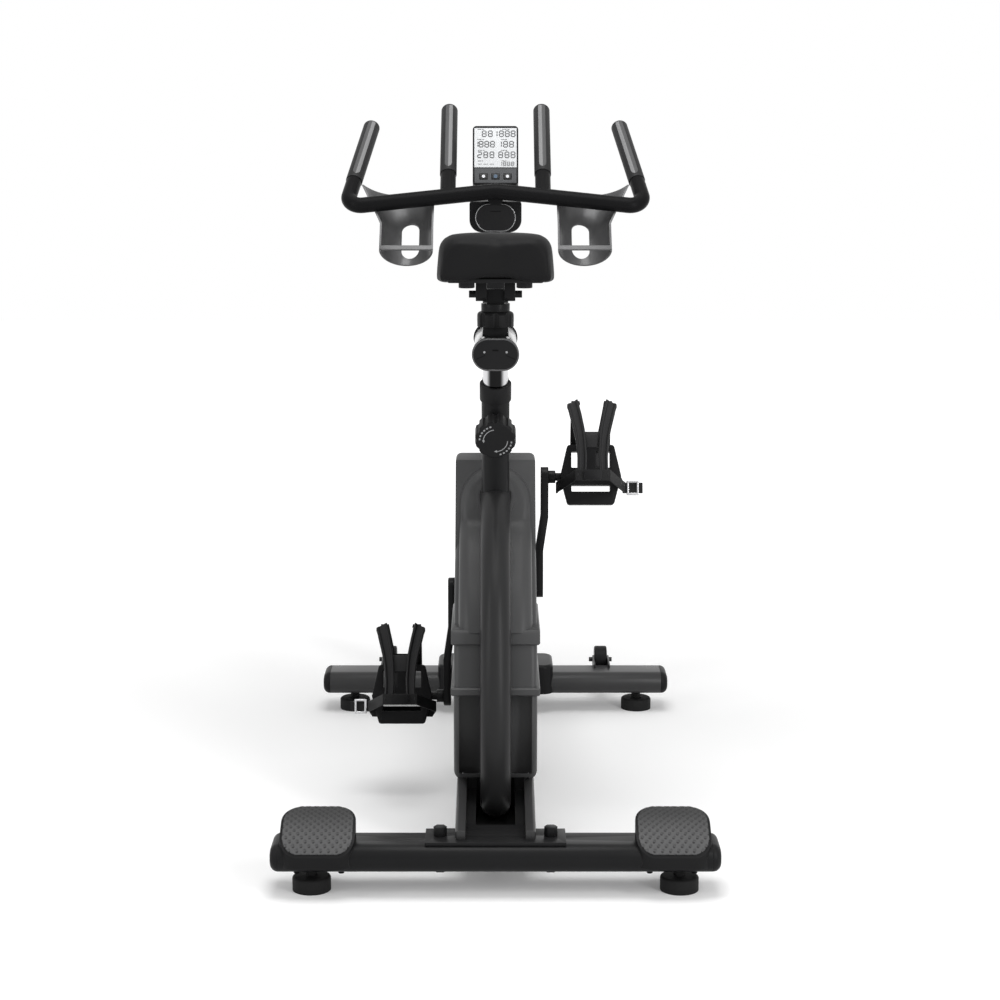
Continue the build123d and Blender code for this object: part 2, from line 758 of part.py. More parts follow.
def belt_outline(extra):
    """The closed outline round both pulleys, at a distance outside their rims."""
    large = Pos(crank_y, crank_z) * Circle(pulley_radius + extra)
    small = Pos(flywheel_y, flywheel_z) * Circle(small_pulley_radius + extra)
    return make_hull(large.edges() + small.edges())


def drive_belt():
    outline = belt_outline(belt_gap + belt_thick) - belt_outline(belt_gap)
    return extrude(Plane.YZ.offset(pulley_x - belt_width / 2) * outline, belt_width)


def flywheel():
    """A rimmed wheel on a thin web with a hub."""
    low_x = flywheel_x - flywheel_thick / 2
    wheel = rod((low_x, flywheel_y, flywheel_z), (1, 0, 0), flywheel_radius, flywheel_thick)
    pocket = (flywheel_thick - flywheel_web) / 2
    for x in (low_x, low_x + flywheel_thick - pocket):
        start = (x, flywheel_y, flywheel_z)
        hub = hub_ratio * flywheel_shaft_radius
        wheel -= pipe(start, (1, 0, 0), flywheel_radius - flywheel_rim, hub, pocket)
    return wheel - rod((low_x, flywheel_y, flywheel_z), (1, 0, 0), flywheel_shaft_radius, flywheel_thick)


def flywheel_shaft():
    """The flywheel's shaft with the small belt pulley on it."""
    start = (-flywheel_shaft_reach, flywheel_y, flywheel_z)
    shaft = rod(start, (1, 0, 0), flywheel_shaft_radius, 2 * flywheel_shaft_reach)
    pulley_start = (pulley_x - pulley_width / 2, flywheel_y, flywheel_z)
    return shaft + rod(pulley_start, (1, 0, 0), small_pulley_radius, pulley_width)


def brake_pivot():
    """The brake arm's pivot, over the flywheel's rim."""
    radius = flywheel_radius + brake_gap + brake_thick / 2
    y = flywheel_y + radius * cos(radians(brake_high_angle))
    return (y, flywheel_z + radius * sin(radians(brake_high_angle)))


def brake_arm():
    """A curved arm that carries magnets over the rim and swings on a pin."""
    low_x = flywheel_x - brake_width / 2
    inner = flywheel_radius + brake_gap
    ring = pipe((low_x, flywheel_y, flywheel_z), (1, 0, 0), inner + brake_thick, inner, brake_width)
    reach = 2 * flywheel_radius
    wedge = [(flywheel_y, flywheel_z)]
    for angle in (brake_low_angle, (brake_low_angle + brake_high_angle) / 2, brake_high_angle):
        wedge.append((flywheel_y + reach * cos(radians(angle)), flywheel_z + reach * sin(radians(angle))))
    arm = ring & slab(wedge, low_x, low_x + brake_width)
    pin_y, pin_z = brake_pivot()
    boss = rod((low_x, pin_y, pin_z), (1, 0, 0), brake_boss_radius, brake_width)
    boss -= rod((low_x, flywheel_y, flywheel_z), (1, 0, 0), inner, brake_width)
    arm += boss
    return arm - rod((low_x, pin_y, pin_z), (1, 0, 0), brake_pin_radius + running_gap, brake_width)


def crank_axle():
    reach = crank_hub_x + crank_thick
    return rod((-reach, crank_y, crank_z), (1, 0, 0), axle_radius, 2 * reach)


def crank_pulley():
    """The large belt pulley, with a thin web between rim and hub."""
    low_x = pulley_x - pulley_width / 2
    wheel = rod((low_x, crank_y, crank_z), (1, 0, 0), pulley_radius, pulley_width)
    pocket = pulley_width * 0.35
    for x in (low_x, low_x + pulley_width - pocket):
        hub = hub_ratio * axle_radius
        wheel -= pipe((x, crank_y, crank_z), (1, 0, 0), pulley_radius - pulley_rim, hub, pocket)
    return wheel - rod((low_x, crank_y, crank_z), (1, 0, 0), axle_radius, pulley_width)


# Cranks and pedals
crank_hub_x = 60.5
crank_thick = 11.5
crank_flare = 7.5
crank_width = 30.0
crank_bend_start = 0.35
crank_bend_end = 0.65
spindle_radius = 6.0
spindle_collar_ratio = 1.6
spindle_inset = 2.0
strap_side_gap = 1.0
pedal_inner_x = 97.0
pedal_width = 92.0
pedal_end_width = 70.0
pedal_length = 95.0
pedal_thick = 22.0
pedal_tilt = 75.0
pedal_barrel = 13.0
pedal_corner = 5.0
pedal_rib = 8.0
pedal_side_wall = 6.0
pedal_end_wall = 10.0
pedal_rear_window = 10.0
cage_half = 30.0
cage_reach = 108.0
cage_rise = 56.0
cage_wall = 5.0
cage_knee_out = 34.0
cage_knee_up = 16.0
cage_brow = 18.0
cage_notch_out = 30.0
cage_inner_step = 3.0
cage_cross_share = 0.53
cage_cross_depth = 22.0
prong_width = 16.0
prong_spread = 27.0
prong_root = 17.0
bridge_y = -16.0
bridge_z = 79.0
bridge_depth = 24.0
bridge_below = 5.0
bridge_above = 6.0
bridge_corner = 4.0
strap_width = 16.0
strap_thick = 2.5
strap_half = 52.0
strap_top_half = 34.0
buckle_reach = 79.0
buckle_wire = 3.0
strap_tail_past = 6.0
strap_bend_z = 4.0
strap_lap = 1.0


def crank(side, up):
    """A flared crank arm on the axle, pointing up or down."""
    hub_out = crank_hub_x + crank_thick
    end = crank_length + crank_width / 2
    bend_low = crank_bend_start * crank_length
    bend_high = crank_bend_end * crank_length
    front_view = [
        (crank_hub_x, -crank_width), (hub_out, -crank_width), (hub_out, bend_low),
        (hub_out + crank_flare, bend_high), (hub_out + crank_flare, end),
        (crank_hub_x + crank_flare, end), (crank_hub_x + crank_flare, bend_high), (crank_hub_x, bend_low),
    ]
    points = [(side * x, crank_z + up * z) for x, z in front_view]
    strip = extrude(Plane.XZ * make_face(Polyline(*points, close=True)), far, both=True)
    middle = (crank_y, crank_z + up * crank_length / 2)
    capsule = Pos(*middle) * Rot(0, 0, 90) * SlotCenterToCenter(crank_length, crank_width)
    arm = extrude(Plane.YZ * capsule, far, both=True) & strip
    reach = 2 * hub_out
    arm -= rod((-reach, crank_y, crank_z), (1, 0, 0), axle_radius, 2 * reach)
    return arm - rod((-reach, crank_y, crank_z + up * crank_length), (1, 0, 0), spindle_radius, 2 * reach)


def pedal_spindles():
    bars = []
    length = pedal_inner_x + pedal_width - spindle_inset - crank_hub_x - crank_flare
    for side, up in ((-1, -1), (1, 1)):
        start = (side * (crank_hub_x + crank_flare), crank_y, crank_z + up * crank_length)
        bar = rod(start, (side, 0, 0), spindle_radius, length)
        collar_x = side * (crank_hub_x + crank_flare + crank_thick)
        strap_x = pedal_inner_x + pedal_width / 2 - strap_half
        collar_length = strap_x - strap_side_gap - abs(collar_x)
        collar_radius = spindle_collar_ratio * spindle_radius
        bar += rod((collar_x, start[1], start[2]), (side, 0, 0), collar_radius, collar_length)
        bars.append(bar)
    return group(bars)


def pedal_place(side, up):
    """The pedal's own frame: x across, y towards the toe, z out of the tread."""
    origin = (side * (pedal_inner_x + pedal_width / 2), crank_y, crank_z + up * crank_length)
    turn = radians(pedal_tilt)
    return Plane(origin=origin, x_dir=(1, 0, 0), z_dir=(0, -sin(turn), cos(turn)))


def pedal(side, up):
    """An open platform with a barrel round the spindle and a window each side of it."""
    wide = pedal_width / 2
    end = pedal_end_width / 2
    long = pedal_length / 2
    outline = [(end, long), (wide, 0), (end, -long), (-end, -long), (-wide, 0), (-end, long)]
    body = extrude(make_face(Polyline(*outline, close=True)), pedal_thick / 2, both=True)
    body = fillet(body.edges().filter_by(Axis.Z), pedal_corner)
    window = end - pedal_side_wall
    for low_x, high_x in ((-window, -pedal_rib), (pedal_rib, window)):
        body -= block((low_x, pedal_barrel, -pedal_thick), (high_x, long - pedal_end_wall, pedal_thick))
    window_low = -pedal_barrel - pedal_rear_window
    body -= block((-window, window_low, -pedal_thick), (window, -pedal_barrel, pedal_thick))
    body -= rod((-pedal_width, 0, 0), (1, 0, 0), spindle_radius + running_gap, 2 * pedal_width)
    return pedal_place(side, up) * body


def prong_plane():
    """The sloping plane of the toe cage's upper prongs, in the pedal's own frame."""
    rise = cage_rise - bridge_z
    run = cage_reach - bridge_y
    long = hypot(rise, run)
    return Plane(origin=(0, bridge_y, bridge_z), x_dir=(1, 0, 0), z_dir=(0, -rise / long, run / long)), long


def toe_cage(side, up):
    """A toe basket on the platform's front edge, with two prongs back to a strap bridge."""
    toe = pedal_length / 2
    low = -pedal_thick / 2
    inner_y = cage_reach - cage_wall
    knee_inner_z = low + cage_knee_up + cage_wall
    profile = [
        (toe, low), (toe + cage_wall, low), (toe + cage_knee_out, low + cage_knee_up),
        (cage_reach, cage_rise - cage_brow), (cage_reach, cage_rise), (inner_y, cage_rise),
        (inner_y, cage_rise - cage_knee_up), (toe + cage_knee_out - cage_inner_step, knee_inner_z),
        (toe, low + cage_wall),
    ]
    basket = slab(profile, -cage_half - cage_wall, cage_half + cage_wall)
    notch_y = toe + cage_notch_out
    gap_low = prong_root - prong_width / 2
    gap_high = prong_spread - prong_width / 2
    end_y = 2 * cage_reach
    notch = [(-gap_low, notch_y), (gap_low, notch_y), (gap_high, end_y), (-gap_high, end_y)]
    basket -= extrude(make_face(Polyline(*notch, close=True)), 4 * cage_rise, both=True)
    place, long = prong_plane()
    cage = basket
    for hand in (-1, 1):
        root = hand * prong_root
        spread = hand * prong_spread
        half = prong_width / 2
        prong = [(root - half, 0), (root + half, 0), (spread + half, long), (spread - half, long)]
        cage += place * extrude(make_face(Polyline(*prong, close=True)), cage_wall / 2, both=True)
    cross_width = 2 * prong_root + prong_width
    cross = Pos(0, cage_cross_share * long, 0) * Box(cross_width, cage_cross_depth, cage_wall)
    cage += place * cross
    half_depth = bridge_depth / 2
    bridge = block(
        (-cage_half, bridge_y - half_depth, bridge_z - bridge_below),
        (cage_half, bridge_y + half_depth, bridge_z + bridge_above),
    )
    cage += fillet(bridge.edges().filter_by(Axis.Z), bridge_corner)
    slot = clear_gap + strap_width / 2
    low_z = bridge_z - strap_thick / 2 - clear_gap
    high_z = bridge_z + strap_thick / 2 + clear_gap
    cage -= block((-2 * cage_half, bridge_y - slot, low_z), (2 * cage_half, bridge_y + slot, high_z))
    return pedal_place(side, up) * cage


def toe_strap(side, up):
    """The strap round the pedal and through the bridge, with its buckle on the outer side."""
    low = -pedal_thick / 2
    high = bridge_z + strap_thick / 2
    outer = [
        (-strap_half, low - strap_thick), (strap_half, low - strap_thick), (strap_half, strap_bend_z),
        (strap_top_half, high), (-strap_top_half, high), (-strap_half, strap_bend_z),
    ]
    inner_half = strap_half - strap_thick
    inner_top = strap_top_half - strap_thick
    inner = [
        (-inner_half, low), (inner_half, low), (inner_half, strap_bend_z),
        (inner_top, high - strap_thick), (-inner_top, high - strap_thick), (-inner_half, strap_bend_z),
    ]
    band = make_face(Polyline(*outer, close=True)) - make_face(Polyline(*inner, close=True))
    middle = Plane(origin=(0, bridge_y, 0), x_dir=(1, 0, 0), z_dir=(0, -1, 0))
    strap = extrude(middle * band, strap_width / 2, both=True)
    half = strap_width / 2
    tail_start = (strap_half - strap_lap, bridge_y - half, low)
    strap += block(tail_start, (buckle_reach, bridge_y + half, low + 2 * strap_thick))
    buckle_low = (strap_half + buckle_wire, bridge_y - half - buckle_wire, low - buckle_wire)
    buckle_high = (buckle_reach - strap_tail_past, bridge_y + half + buckle_wire, low + 3 * strap_thick)
    hole_low = (buckle_low[0] + buckle_wire, bridge_y - half, -far)
    hole_high = (buckle_high[0] - buckle_wire, bridge_y + half, far)
    strap += block(buckle_low, buckle_high) - block(hole_low, hole_high)
    if side < 0:
        strap = mirrored(strap)
    return pedal_place(side, up) * strap


# Seat slider, carriage and saddle
slider_width = 60.0
slider_height = 40.0
slider_wall = 2.5
slider_gap = 0.5
post_shown = 60.0
seat_slider_z = seat_tube_top_z + post_shown
seat_slider_rear_y = -350.0
seat_slider_front_y = -126.0
slider_cap_thick = 10.0
slider_cap_over = 2.0
slider_cap_bevel = 2.5
carriage_y = -236.0
carriage_length = 60.0
neck_width = 35.0
neck_length = 36.0
saddle_travel = 45.0
neck_above = 27.0
neck_top_z = seat_slider_z + neck_above
stem_radius = 12.0
saddle_knob_radius = 26.0
saddle_knob_above = 48.0
saddle_knob_top_z = seat_slider_z + saddle_knob_above
saddle_knob_edge = 6.0
saddle_knob_flutes = 8
saddle_flute_radius = 6.0
saddle_flute_ratio = 1.12
flange_radius = 20.0
flange_above = 59.0
flange_top_z = seat_slider_z + flange_above
tilt_above = 72.0
tilt_z = seat_slider_z + tilt_above
tilt_pin_radius = 5.0
tilt_pin_reach = 37.0
ear_half = 12.0
ear_depth = 20.0
ear_over_pin = 7.0
clamp_half = 27.5
clamp_depth = 32.0
clamp_above = 63.0
clamp_low_z = seat_slider_z + clamp_above
clamp_corner = 6.0
saddle_base_above = 93.0
saddle_base_z = seat_slider_z + saddle_base_above
saddle_base_thick = 6.0
saddle_height = 64.0
saddle_top_z = saddle_base_z + saddle_height
saddle_half = 79.0
saddle_rear_y = -330.0
saddle_length = 270.0
channel_depth = 3.5
saddle_shoulder = 24.0
saddle_drawn_in = 0.96
saddle_base_corner = 5.0
saddle_base_inset = 12.0
bumper_radius = 11.0
bumper_drop = 8.0
bumper_inset = 34.0
bumper_sink = 1.0


def slider_tube(low_y, high_y, middle_z):
    """A chrome flat-oval tube along Y."""
    tube = flat_oval(slider_width, slider_height, low_y, high_y, middle_z)
    inner_width = slider_width - 2 * slider_wall
    inner_height = slider_height - 2 * slider_wall
    return tube - flat_oval(inner_width, inner_height, low_y, high_y, middle_z)


def slider_cap(face_y, outward, middle_z):
    """A bevelled plastic cap on one end of a slider tube."""
    low_y = min(face_y, face_y + outward * slider_cap_thick)
    wide = slider_width + 2 * slider_cap_over
    high = slider_height + 2 * slider_cap_over
    cap = flat_oval(wide, high, low_y, low_y + slider_cap_thick, middle_z)
    rim = cap.faces().sort_by(Axis.Y)[-1 if outward > 0 else 0].edges()
    return chamfer(rim, slider_cap_bevel)


def seat_slider_tube():
    tube = slider_tube(seat_slider_rear_y, seat_slider_front_y, seat_slider_z)
    reach = neck_length / 2 + saddle_travel + slider_gap
    half = neck_width / 2 + slider_gap
    top = seat_slider_z + slider_height
    return tube - block((-half, carriage_y - reach, seat_slider_z), (half, carriage_y + reach, top))


def seat_slider_caps():
    rear = slider_cap(seat_slider_rear_y, -1, seat_slider_z)
    front = slider_cap(seat_slider_front_y, 1, seat_slider_z)
    return group([rear, front])


def seat_post():
    """The chrome post in the seat tube, saddled to the slider."""
    top_z = seat_slider_z
    length = seat_length(seat_post_low_z, top_z)
    post = rod(seat_point(seat_post_low_z), seat_up, seat_post_radius, length)
    post -= rod(seat_point(seat_post_low_z), seat_up, seat_post_radius - tube_wall, 0.8 * length)
    slider = flat_oval(slider_width, slider_height, seat_slider_rear_y, seat_slider_front_y, seat_slider_z)
    return post - slider


def saddle_stem():
    """The carriage inside the slider, its neck, and the stem that carries the saddle clamp."""
    wide = slider_width - 2 * slider_wall - 2 * slider_gap
    high = slider_height - 2 * slider_wall - 2 * slider_gap
    half = carriage_length / 2
    stem = flat_oval(wide, high, carriage_y - half, carriage_y + half, seat_slider_z)
    neck = (neck_width / 2, neck_length / 2)
    stem += block(
        (-neck[0], carriage_y - neck[1], seat_slider_z), (neck[0], carriage_y + neck[1], neck_top_z)
    )
    up = (0, 0, 1)
    stem += rod((0, carriage_y, neck_top_z), up, stem_radius, flange_top_z - neck_top_z)
    flange_low = saddle_knob_top_z + clear_gap
    stem += rod((0, carriage_y, flange_low), up, flange_radius, flange_top_z - flange_low)
    ear_low = (-ear_half, carriage_y - ear_depth / 2, flange_top_z)
    stem += block(ear_low, (ear_half, carriage_y + ear_depth / 2, tilt_z + ear_over_pin))
    pin = rod((-tilt_pin_reach, carriage_y, tilt_z), (1, 0, 0), tilt_pin_radius, 2 * tilt_pin_reach)
    return stem + pin


def saddle_knob():
    """The ring knob round the stem that tightens the carriage."""
    low = neck_top_z + clear_gap
    knob = rod((0, carriage_y, low), (0, 0, 1), saddle_knob_radius, saddle_knob_top_z - low)
    knob = fillet(knob.edges().group_by(Axis.Z)[-1], saddle_knob_edge)
    for turn in range(saddle_knob_flutes):
        angle = radians(360 * turn / saddle_knob_flutes)
        out = saddle_flute_ratio * saddle_knob_radius
        start = (out * cos(angle), carriage_y + out * sin(angle), low)
        knob -= rod(start, (0, 0, 1), saddle_flute_radius, saddle_knob_top_z - low)
    return knob - rod((0, carriage_y, low), (0, 0, 1), stem_radius + running_gap, saddle_knob_top_z - low)


def saddle_clamp():
    """Two cheeks on the tilt pin, under the saddle's base."""
    half = clamp_depth / 2
    cheek = block(
        (ear_half + clear_gap, carriage_y - half, clamp_low_z), (clamp_half, carriage_y + half, saddle_base_z)
    )
    cheek = fillet(cheek.edges().filter_by(Axis.X).group_by(Axis.Z)[0], clamp_corner)
    cheek -= rod((0, carriage_y, tilt_z), (1, 0, 0), tilt_pin_radius + running_gap, 2 * clamp_half)
    return pair(cheek)


# Saddle sections from the rear to the nose: share of the length, half width, top height, low height
saddle_sections = (
    (0.0, 0.93, 0.86, 4.0),
    (0.06, 0.99, 0.98, 1.0),
    (0.25, 1.0, 1.0, 0.0),
    (0.45, 0.72, 0.93, 2.0),
    (0.65, 0.34, 0.86, 4.0),
    (0.92, 0.25, 0.80, 6.0),
    (1.0, 0.17, 0.60, 10.0),
)


def saddle_section(share, wide, high, lift):
    """One cross section: flat below, upright sides, round shoulders and a shallow channel."""
    half = wide * saddle_half
    low_z = saddle_base_z + saddle_base_thick + lift
    top_z = saddle_base_z + high * (saddle_top_z - saddle_base_z)
    round_off = min(saddle_shoulder, 0.6 * half, 0.6 * (top_z - low_z))
    corner = 0.29 * round_off
    groove = channel_depth * (1.0 if share > 0.03 else 0.4)
    edges = []
    for hand in (1, -1):
        rim = hand * half
        side = hand * saddle_drawn_in * half
        crown = side - hand * round_off
        edges += [
            Line((0, low_z), (rim, low_z)),
            Line((rim, low_z), (side, top_z - round_off)),
            ThreePointArc((side, top_z - round_off), (side - hand * corner, top_z - corner), (crown, top_z)),
            ThreePointArc((crown, top_z), (0.45 * crown, top_z - 0.25 * groove), (0, top_z - groove)),
        ]
    section_y = saddle_rear_y + share * saddle_length
    place = Plane(origin=(0, section_y, 0), x_dir=(1, 0, 0), z_dir=(0, -1, 0))
    return place * make_face(edges)


def saddle_pad():
    """The padded top, lofted from the rear to the nose and seated on its base."""
    return loft([saddle_section(*row) for row in saddle_sections]) - saddle_base()


def saddle_base():
    """The stiff shell under the saddle, with two round bumpers at the rear."""
    heel_y = saddle_rear_y + saddle_base_inset
    nose_y = saddle_rear_y + 0.94 * saddle_length
    wide_y = saddle_rear_y + 0.30 * saddle_length
    waist_y = saddle_rear_y + 0.60 * saddle_length
    rear_half = 0.82 * saddle_half
    plan = [
        (-rear_half, heel_y), (rear_half, heel_y), (rear_half, wide_y),
        (0.34 * saddle_half, waist_y), (0.18 * saddle_half, nose_y), (-0.18 * saddle_half, nose_y),
        (-0.34 * saddle_half, waist_y), (-rear_half, wide_y),
    ]
    face = Pos(0, 0, saddle_base_z) * make_face(Polyline(*plan, close=True))
    base = extrude(face, saddle_base_thick)
    base = fillet(base.edges().filter_by(Axis.Z), saddle_base_corner)
    for side in (-1, 1):
        start = (side * 0.5 * saddle_half, saddle_rear_y + bumper_inset, saddle_base_z - bumper_drop)
        base += rod(start, (0, 0, 1), bumper_radius, bumper_drop + bumper_sink)
    return base


# Knobs
knob_flutes = 12
knob_flute_radius = 5.0
knob_flute_out = 0.55 * knob_flute_radius
knob_edge = 4.0
stud_sink = 1.0


def hand_knob(start, direction, radius, thick, rod_back):
    """A fluted hand knob with a threaded rod behind it."""
    place = Plane(origin=start, z_dir=direction)
    head = Cylinder(radius, thick, align=(Align.CENTER, Align.CENTER, Align.MIN))
    head = fillet(head.edges().group_by(Axis.Z)[-1], knob_edge)
    for turn in range(knob_flutes):
        angle = radians(360 * turn / knob_flutes)
        x = (radius + knob_flute_out) * cos(angle)
        y = (radius + knob_flute_out) * sin(angle)
        head -= Pos(x, y, thick / 2) * Cylinder(knob_flute_radius, thick)
    stud = Cylinder(knob_rod_radius, rod_back + stud_sink, align=(Align.CENTER, Align.CENTER, Align.MIN))
    return place * (head + Pos(0, 0, -rod_back) * stud)


def seat_knob():
    seat = seat_tube_radius + knob_boss_reach + clear_gap
    tip = seat_post_radius + post_gap
    return hand_knob(seat_point(seat_knob_z, seat), seat_rear, seat_knob_radius, knob_thick, seat - tip)


def mast_knob():
    seat = mast_depth / 2 + knob_boss_reach + clear_gap
    tip = post_depth / 2 + post_gap
    return hand_knob(mast_point(mast_knob_z, seat), mast_front, mast_knob_radius, knob_thick, seat - tip)


def resistance_knob():
    seat = main_beam_radius + resistance_boss_reach + clear_gap
    start = beam_point(resistance_along, seat)
    return hand_knob(start, beam_top, resistance_radius, resistance_height, seat)


# Handlebar slider, bar, grips, holders and console
housing_width = 84.0
housing_rear_y = 262.0
housing_front_y = 362.0
housing_low_z = 841.0
housing_high_z = 890.0
housing_low_corner = 20.0
housing_top_corner = 4.0
post_into_housing = 10.0
bar_slider_z = 866.0
bar_slider_rear_y = 239.0
bar_slider_front_y = 425.0
slider_knob_y = 345.0
slider_knob_radius = 16.0
slider_knob_thick = 22.0
bar_radius = 12.5
bar_y = 225.0
bar_mid_z = 908.0
bar_corner_x = 239.0
bar_corner_z = 883.0
bar_corner_radius = 22.0
bar_mid_radius = 30.0
stem_low_half = 8.0
stem_high_half = 16.0
stem_lap = 2.0
outer_tip = (206.0, 385.5, 1006.0)
inner_horn_x = 76.0
inner_horn_z = 900.0
inner_tip = (76.0, 382.5, 1033.0)
grip_radius = 13.5
grip_end = 10.0
grip_dome = 8.0
outer_grip_length = 150.0
inner_grip_length = 165.0
holder_x = 141.0
holder_low_y = 168.0
holder_low_z = 816.5
holder_tilt = 40.0
holder_length = 132.0
holder_half_low = 42.5
holder_half_high = 59.0
holder_depth_low = 40.0
holder_depth_high = 30.0
holder_shift = 15.0
holder_wall = 3.0
holder_slot_width = 28.0
holder_slot_in = 5.0
holder_slot_low = 12.0
holder_slot_high = 78.0
holder_strap = 8.0
holder_strap_up = 2.0
holder_waist = 0.42 * holder_length
console_y = 300.0
console_z = 963.5
console_lean = 20.0
console_width = 74.0
console_height = 100.0
console_thick = 22.0
console_corner = 6.0
bracket_half = 18.0
bracket_bar_drop = 3.0
bracket_lap = 12.0
bracket_clear = 5.0
bracket_foot = 14.0
bracket_back = 18.0
bracket_face = 4.0
bracket_step = 2.0
screen_width = 69.0
screen_height = 67.0
screen_deep = 2.0
screen_up = 13.0
button_drop = 36.0
button_pitch = 19.5
button_width = 12.0
button_height = 9.0
button_deep = 5.0
button_proud = 1.5
button_travel = 1.0
button_bevel = 0.6


def handlebar_post():
    """The chrome post in the mast, up to the slider housing."""
    low_z = mast_top_z - post_inside * mast_up[2]
    length = (housing_low_z + post_into_housing - low_z) / mast_up[2]
    post = mast_bar(low_z, length, post_width, post_depth, post_corner)
    inner_width = post_width - 2 * post_wall
    inner_depth = post_depth - 2 * post_wall
    post -= mast_bar(low_z, length, inner_width, inner_depth, post_corner - post_wall)
    return post - housing_solid()


def housing_solid():
    """The clamp housing's outer block, rounded below."""
    half = housing_width / 2
    body = block((-half, housing_rear_y, housing_low_z), (half, housing_front_y, housing_high_z))
    low_edges = body.edges().filter_by(Axis.Y).group_by(Axis.Z)[0]
    body = fillet(low_edges, housing_low_corner)
    return fillet(body.edges().filter_by(Axis.Y).group_by(Axis.Z)[-1], housing_top_corner)


def slider_housing():
    body = housing_solid()
    wide = slider_width + 2 * clear_gap
    high = slider_height + 2 * clear_gap
    body -= flat_oval(wide, high, housing_rear_y, housing_front_y, bar_slider_z)
    start = (0, slider_knob_y, bar_slider_z)
    return body - rod(start, (0, 0, -1), knob_rod_radius + running_gap, slider_height)


def slider_knob():
    seat_z = housing_low_z - clear_gap
    tip_z = bar_slider_z - slider_height / 2 - clear_gap
    start = (0, slider_knob_y, seat_z)
    return hand_knob(start, (0, 0, -1), slider_knob_radius, slider_knob_thick, tip_z - seat_z)


def handlebar_slider():
    tube = slider_tube(bar_slider_rear_y, bar_slider_front_y, bar_slider_z)
    rear = slider_cap(bar_slider_rear_y, -1, bar_slider_z)
    front = slider_cap(bar_slider_front_y, 1, bar_slider_z)
    return group([tube, rear, front])


def bar_solid(radius=bar_radius):
    """The bar from horn tip to horn tip, with the two straight inner horns."""
    left_tip = (-outer_tip[0], outer_tip[1], outer_tip[2])
    points = [
        left_tip, (-bar_corner_x, bar_y, bar_corner_z), (0, bar_y, bar_mid_z),
        (bar_corner_x, bar_y, bar_corner_z), outer_tip,
    ]
    line = FilletPolyline(*points, radius=[bar_corner_radius, bar_mid_radius, bar_corner_radius])
    place = Plane(origin=line @ 0, z_dir=line % 0)
    bar = sweep(place * Circle(radius), path=line)
    for side in (-1, 1):
        start = (side * inner_horn_x, bar_y, inner_horn_z)
        run = Vector(side * inner_tip[0], inner_tip[1], inner_tip[2]) - Vector(*start)
        bar += rod(start, tuple(run), radius, run.length)
    return bar


def handlebar():
    """The bar with its stem block on the slider."""
    stem_top = bar_mid_z - 0.6 * bar_radius
    stem_low = bar_slider_z + slider_height / 2
    outline = [
        (-stem_low_half, stem_low), (stem_low_half, stem_low),
        (stem_high_half, stem_top), (-stem_high_half, stem_top),
    ]
    face = make_face(Polyline(*outline, close=True))
    stem_front_y = bar_y + bar_radius + stem_lap
    place = Plane(origin=(0, stem_front_y, 0), x_dir=(1, 0, 0), z_dir=(0, -1, 0))
    bar = bar_solid() + extrude(place * face, stem_front_y - bar_slider_rear_y + slider_cap_thick)
    return bar - bar_solid(bar_radius - tube_wall) - slider_cap(bar_slider_rear_y, -1, bar_slider_z)


def grip(root, tip, length):
    """A rubber sleeve with a domed end on one horn."""
    run = Vector(*tip) - Vector(*root)
    heading = run.normalized()
    start = Vector(*tip) - heading * (length - grip_end)
    sleeve = rod(tuple(start), tuple(heading), grip_radius, length)
    rims = sleeve.edges().filter_by(GeomType.CIRCLE)
    return fillet(rims.sort_by_distance(tip)[0], grip_dome)


def hand_grips():
    bar = bar_solid()
    outer = grip((bar_corner_x, bar_y, bar_corner_z), outer_tip, outer_grip_length)
    inner = grip((inner_horn_x, bar_y, inner_horn_z), inner_tip, inner_grip_length)
    sleeves = []
    for sleeve in (outer, inner):
        sleeves.append(sleeve - bar)
        sleeves.append(mirrored(sleeve) - bar)
    return group(sleeves)


def holder_plane(along, shift):
    """A cross plane of the right bottle holder: x across, y into the trough's depth."""
    turn = radians(holder_tilt)
    origin = (holder_x + shift, holder_low_y + along * sin(turn), holder_low_z + along * cos(turn))
    return Plane(origin=origin, x_dir=(1, 0, 0), z_dir=(0, sin(turn), cos(turn)))


def holder_section(along, half, depth, shift):
    """A thin curved section of the trough."""
    inner_half = half - holder_wall
    inner_depth = depth - holder_wall
    face = make_face(
        [
            ThreePointArc((-half, 0), (0, depth), (half, 0)),
            Line((half, 0), (inner_half, 0)),
            ThreePointArc((inner_half, 0), (0, inner_depth), (-inner_half, 0)),
            Line((-inner_half, 0), (-half, 0)),
        ]
    )
    return holder_plane(along, shift) * face


def bottle_holder():
    """A sheet trough under the bar that flares towards the top, with a slot and a cross strap."""
    trough = loft(
        [
            holder_section(0, holder_half_low, holder_depth_low, 0),
            holder_section(holder_waist, holder_half_low, holder_depth_low, 0),
        ]
    )
    trough += loft(
        [
            holder_section(holder_waist, holder_half_low, holder_depth_low, 0),
            holder_section(holder_length, holder_half_high, holder_depth_high, holder_shift),
        ]
    )
    place = holder_plane(0, 0)
    middle = (holder_slot_low + holder_slot_high) / 2
    long = holder_slot_high - holder_slot_low
    slot = Pos(-holder_slot_in, holder_depth_low, middle) * Rot(90, 0, 0) * Rot(0, 0, 90)
    trough -= place * (slot * extrude(SlotOverall(long, holder_slot_width), holder_depth_low, both=True))
    strap = Box(2 * holder_half_low, holder_wall, holder_strap, align=(Align.CENTER, Align.MAX, Align.MIN))
    return trough + place * Pos(0, holder_wall / 2, holder_strap_up) * strap


def bottle_holders():
    bar = bar_solid()
    right = bottle_holder() - bar
    right = right.solids().sort_by(SortBy.VOLUME)[-1]
    return pair(right)


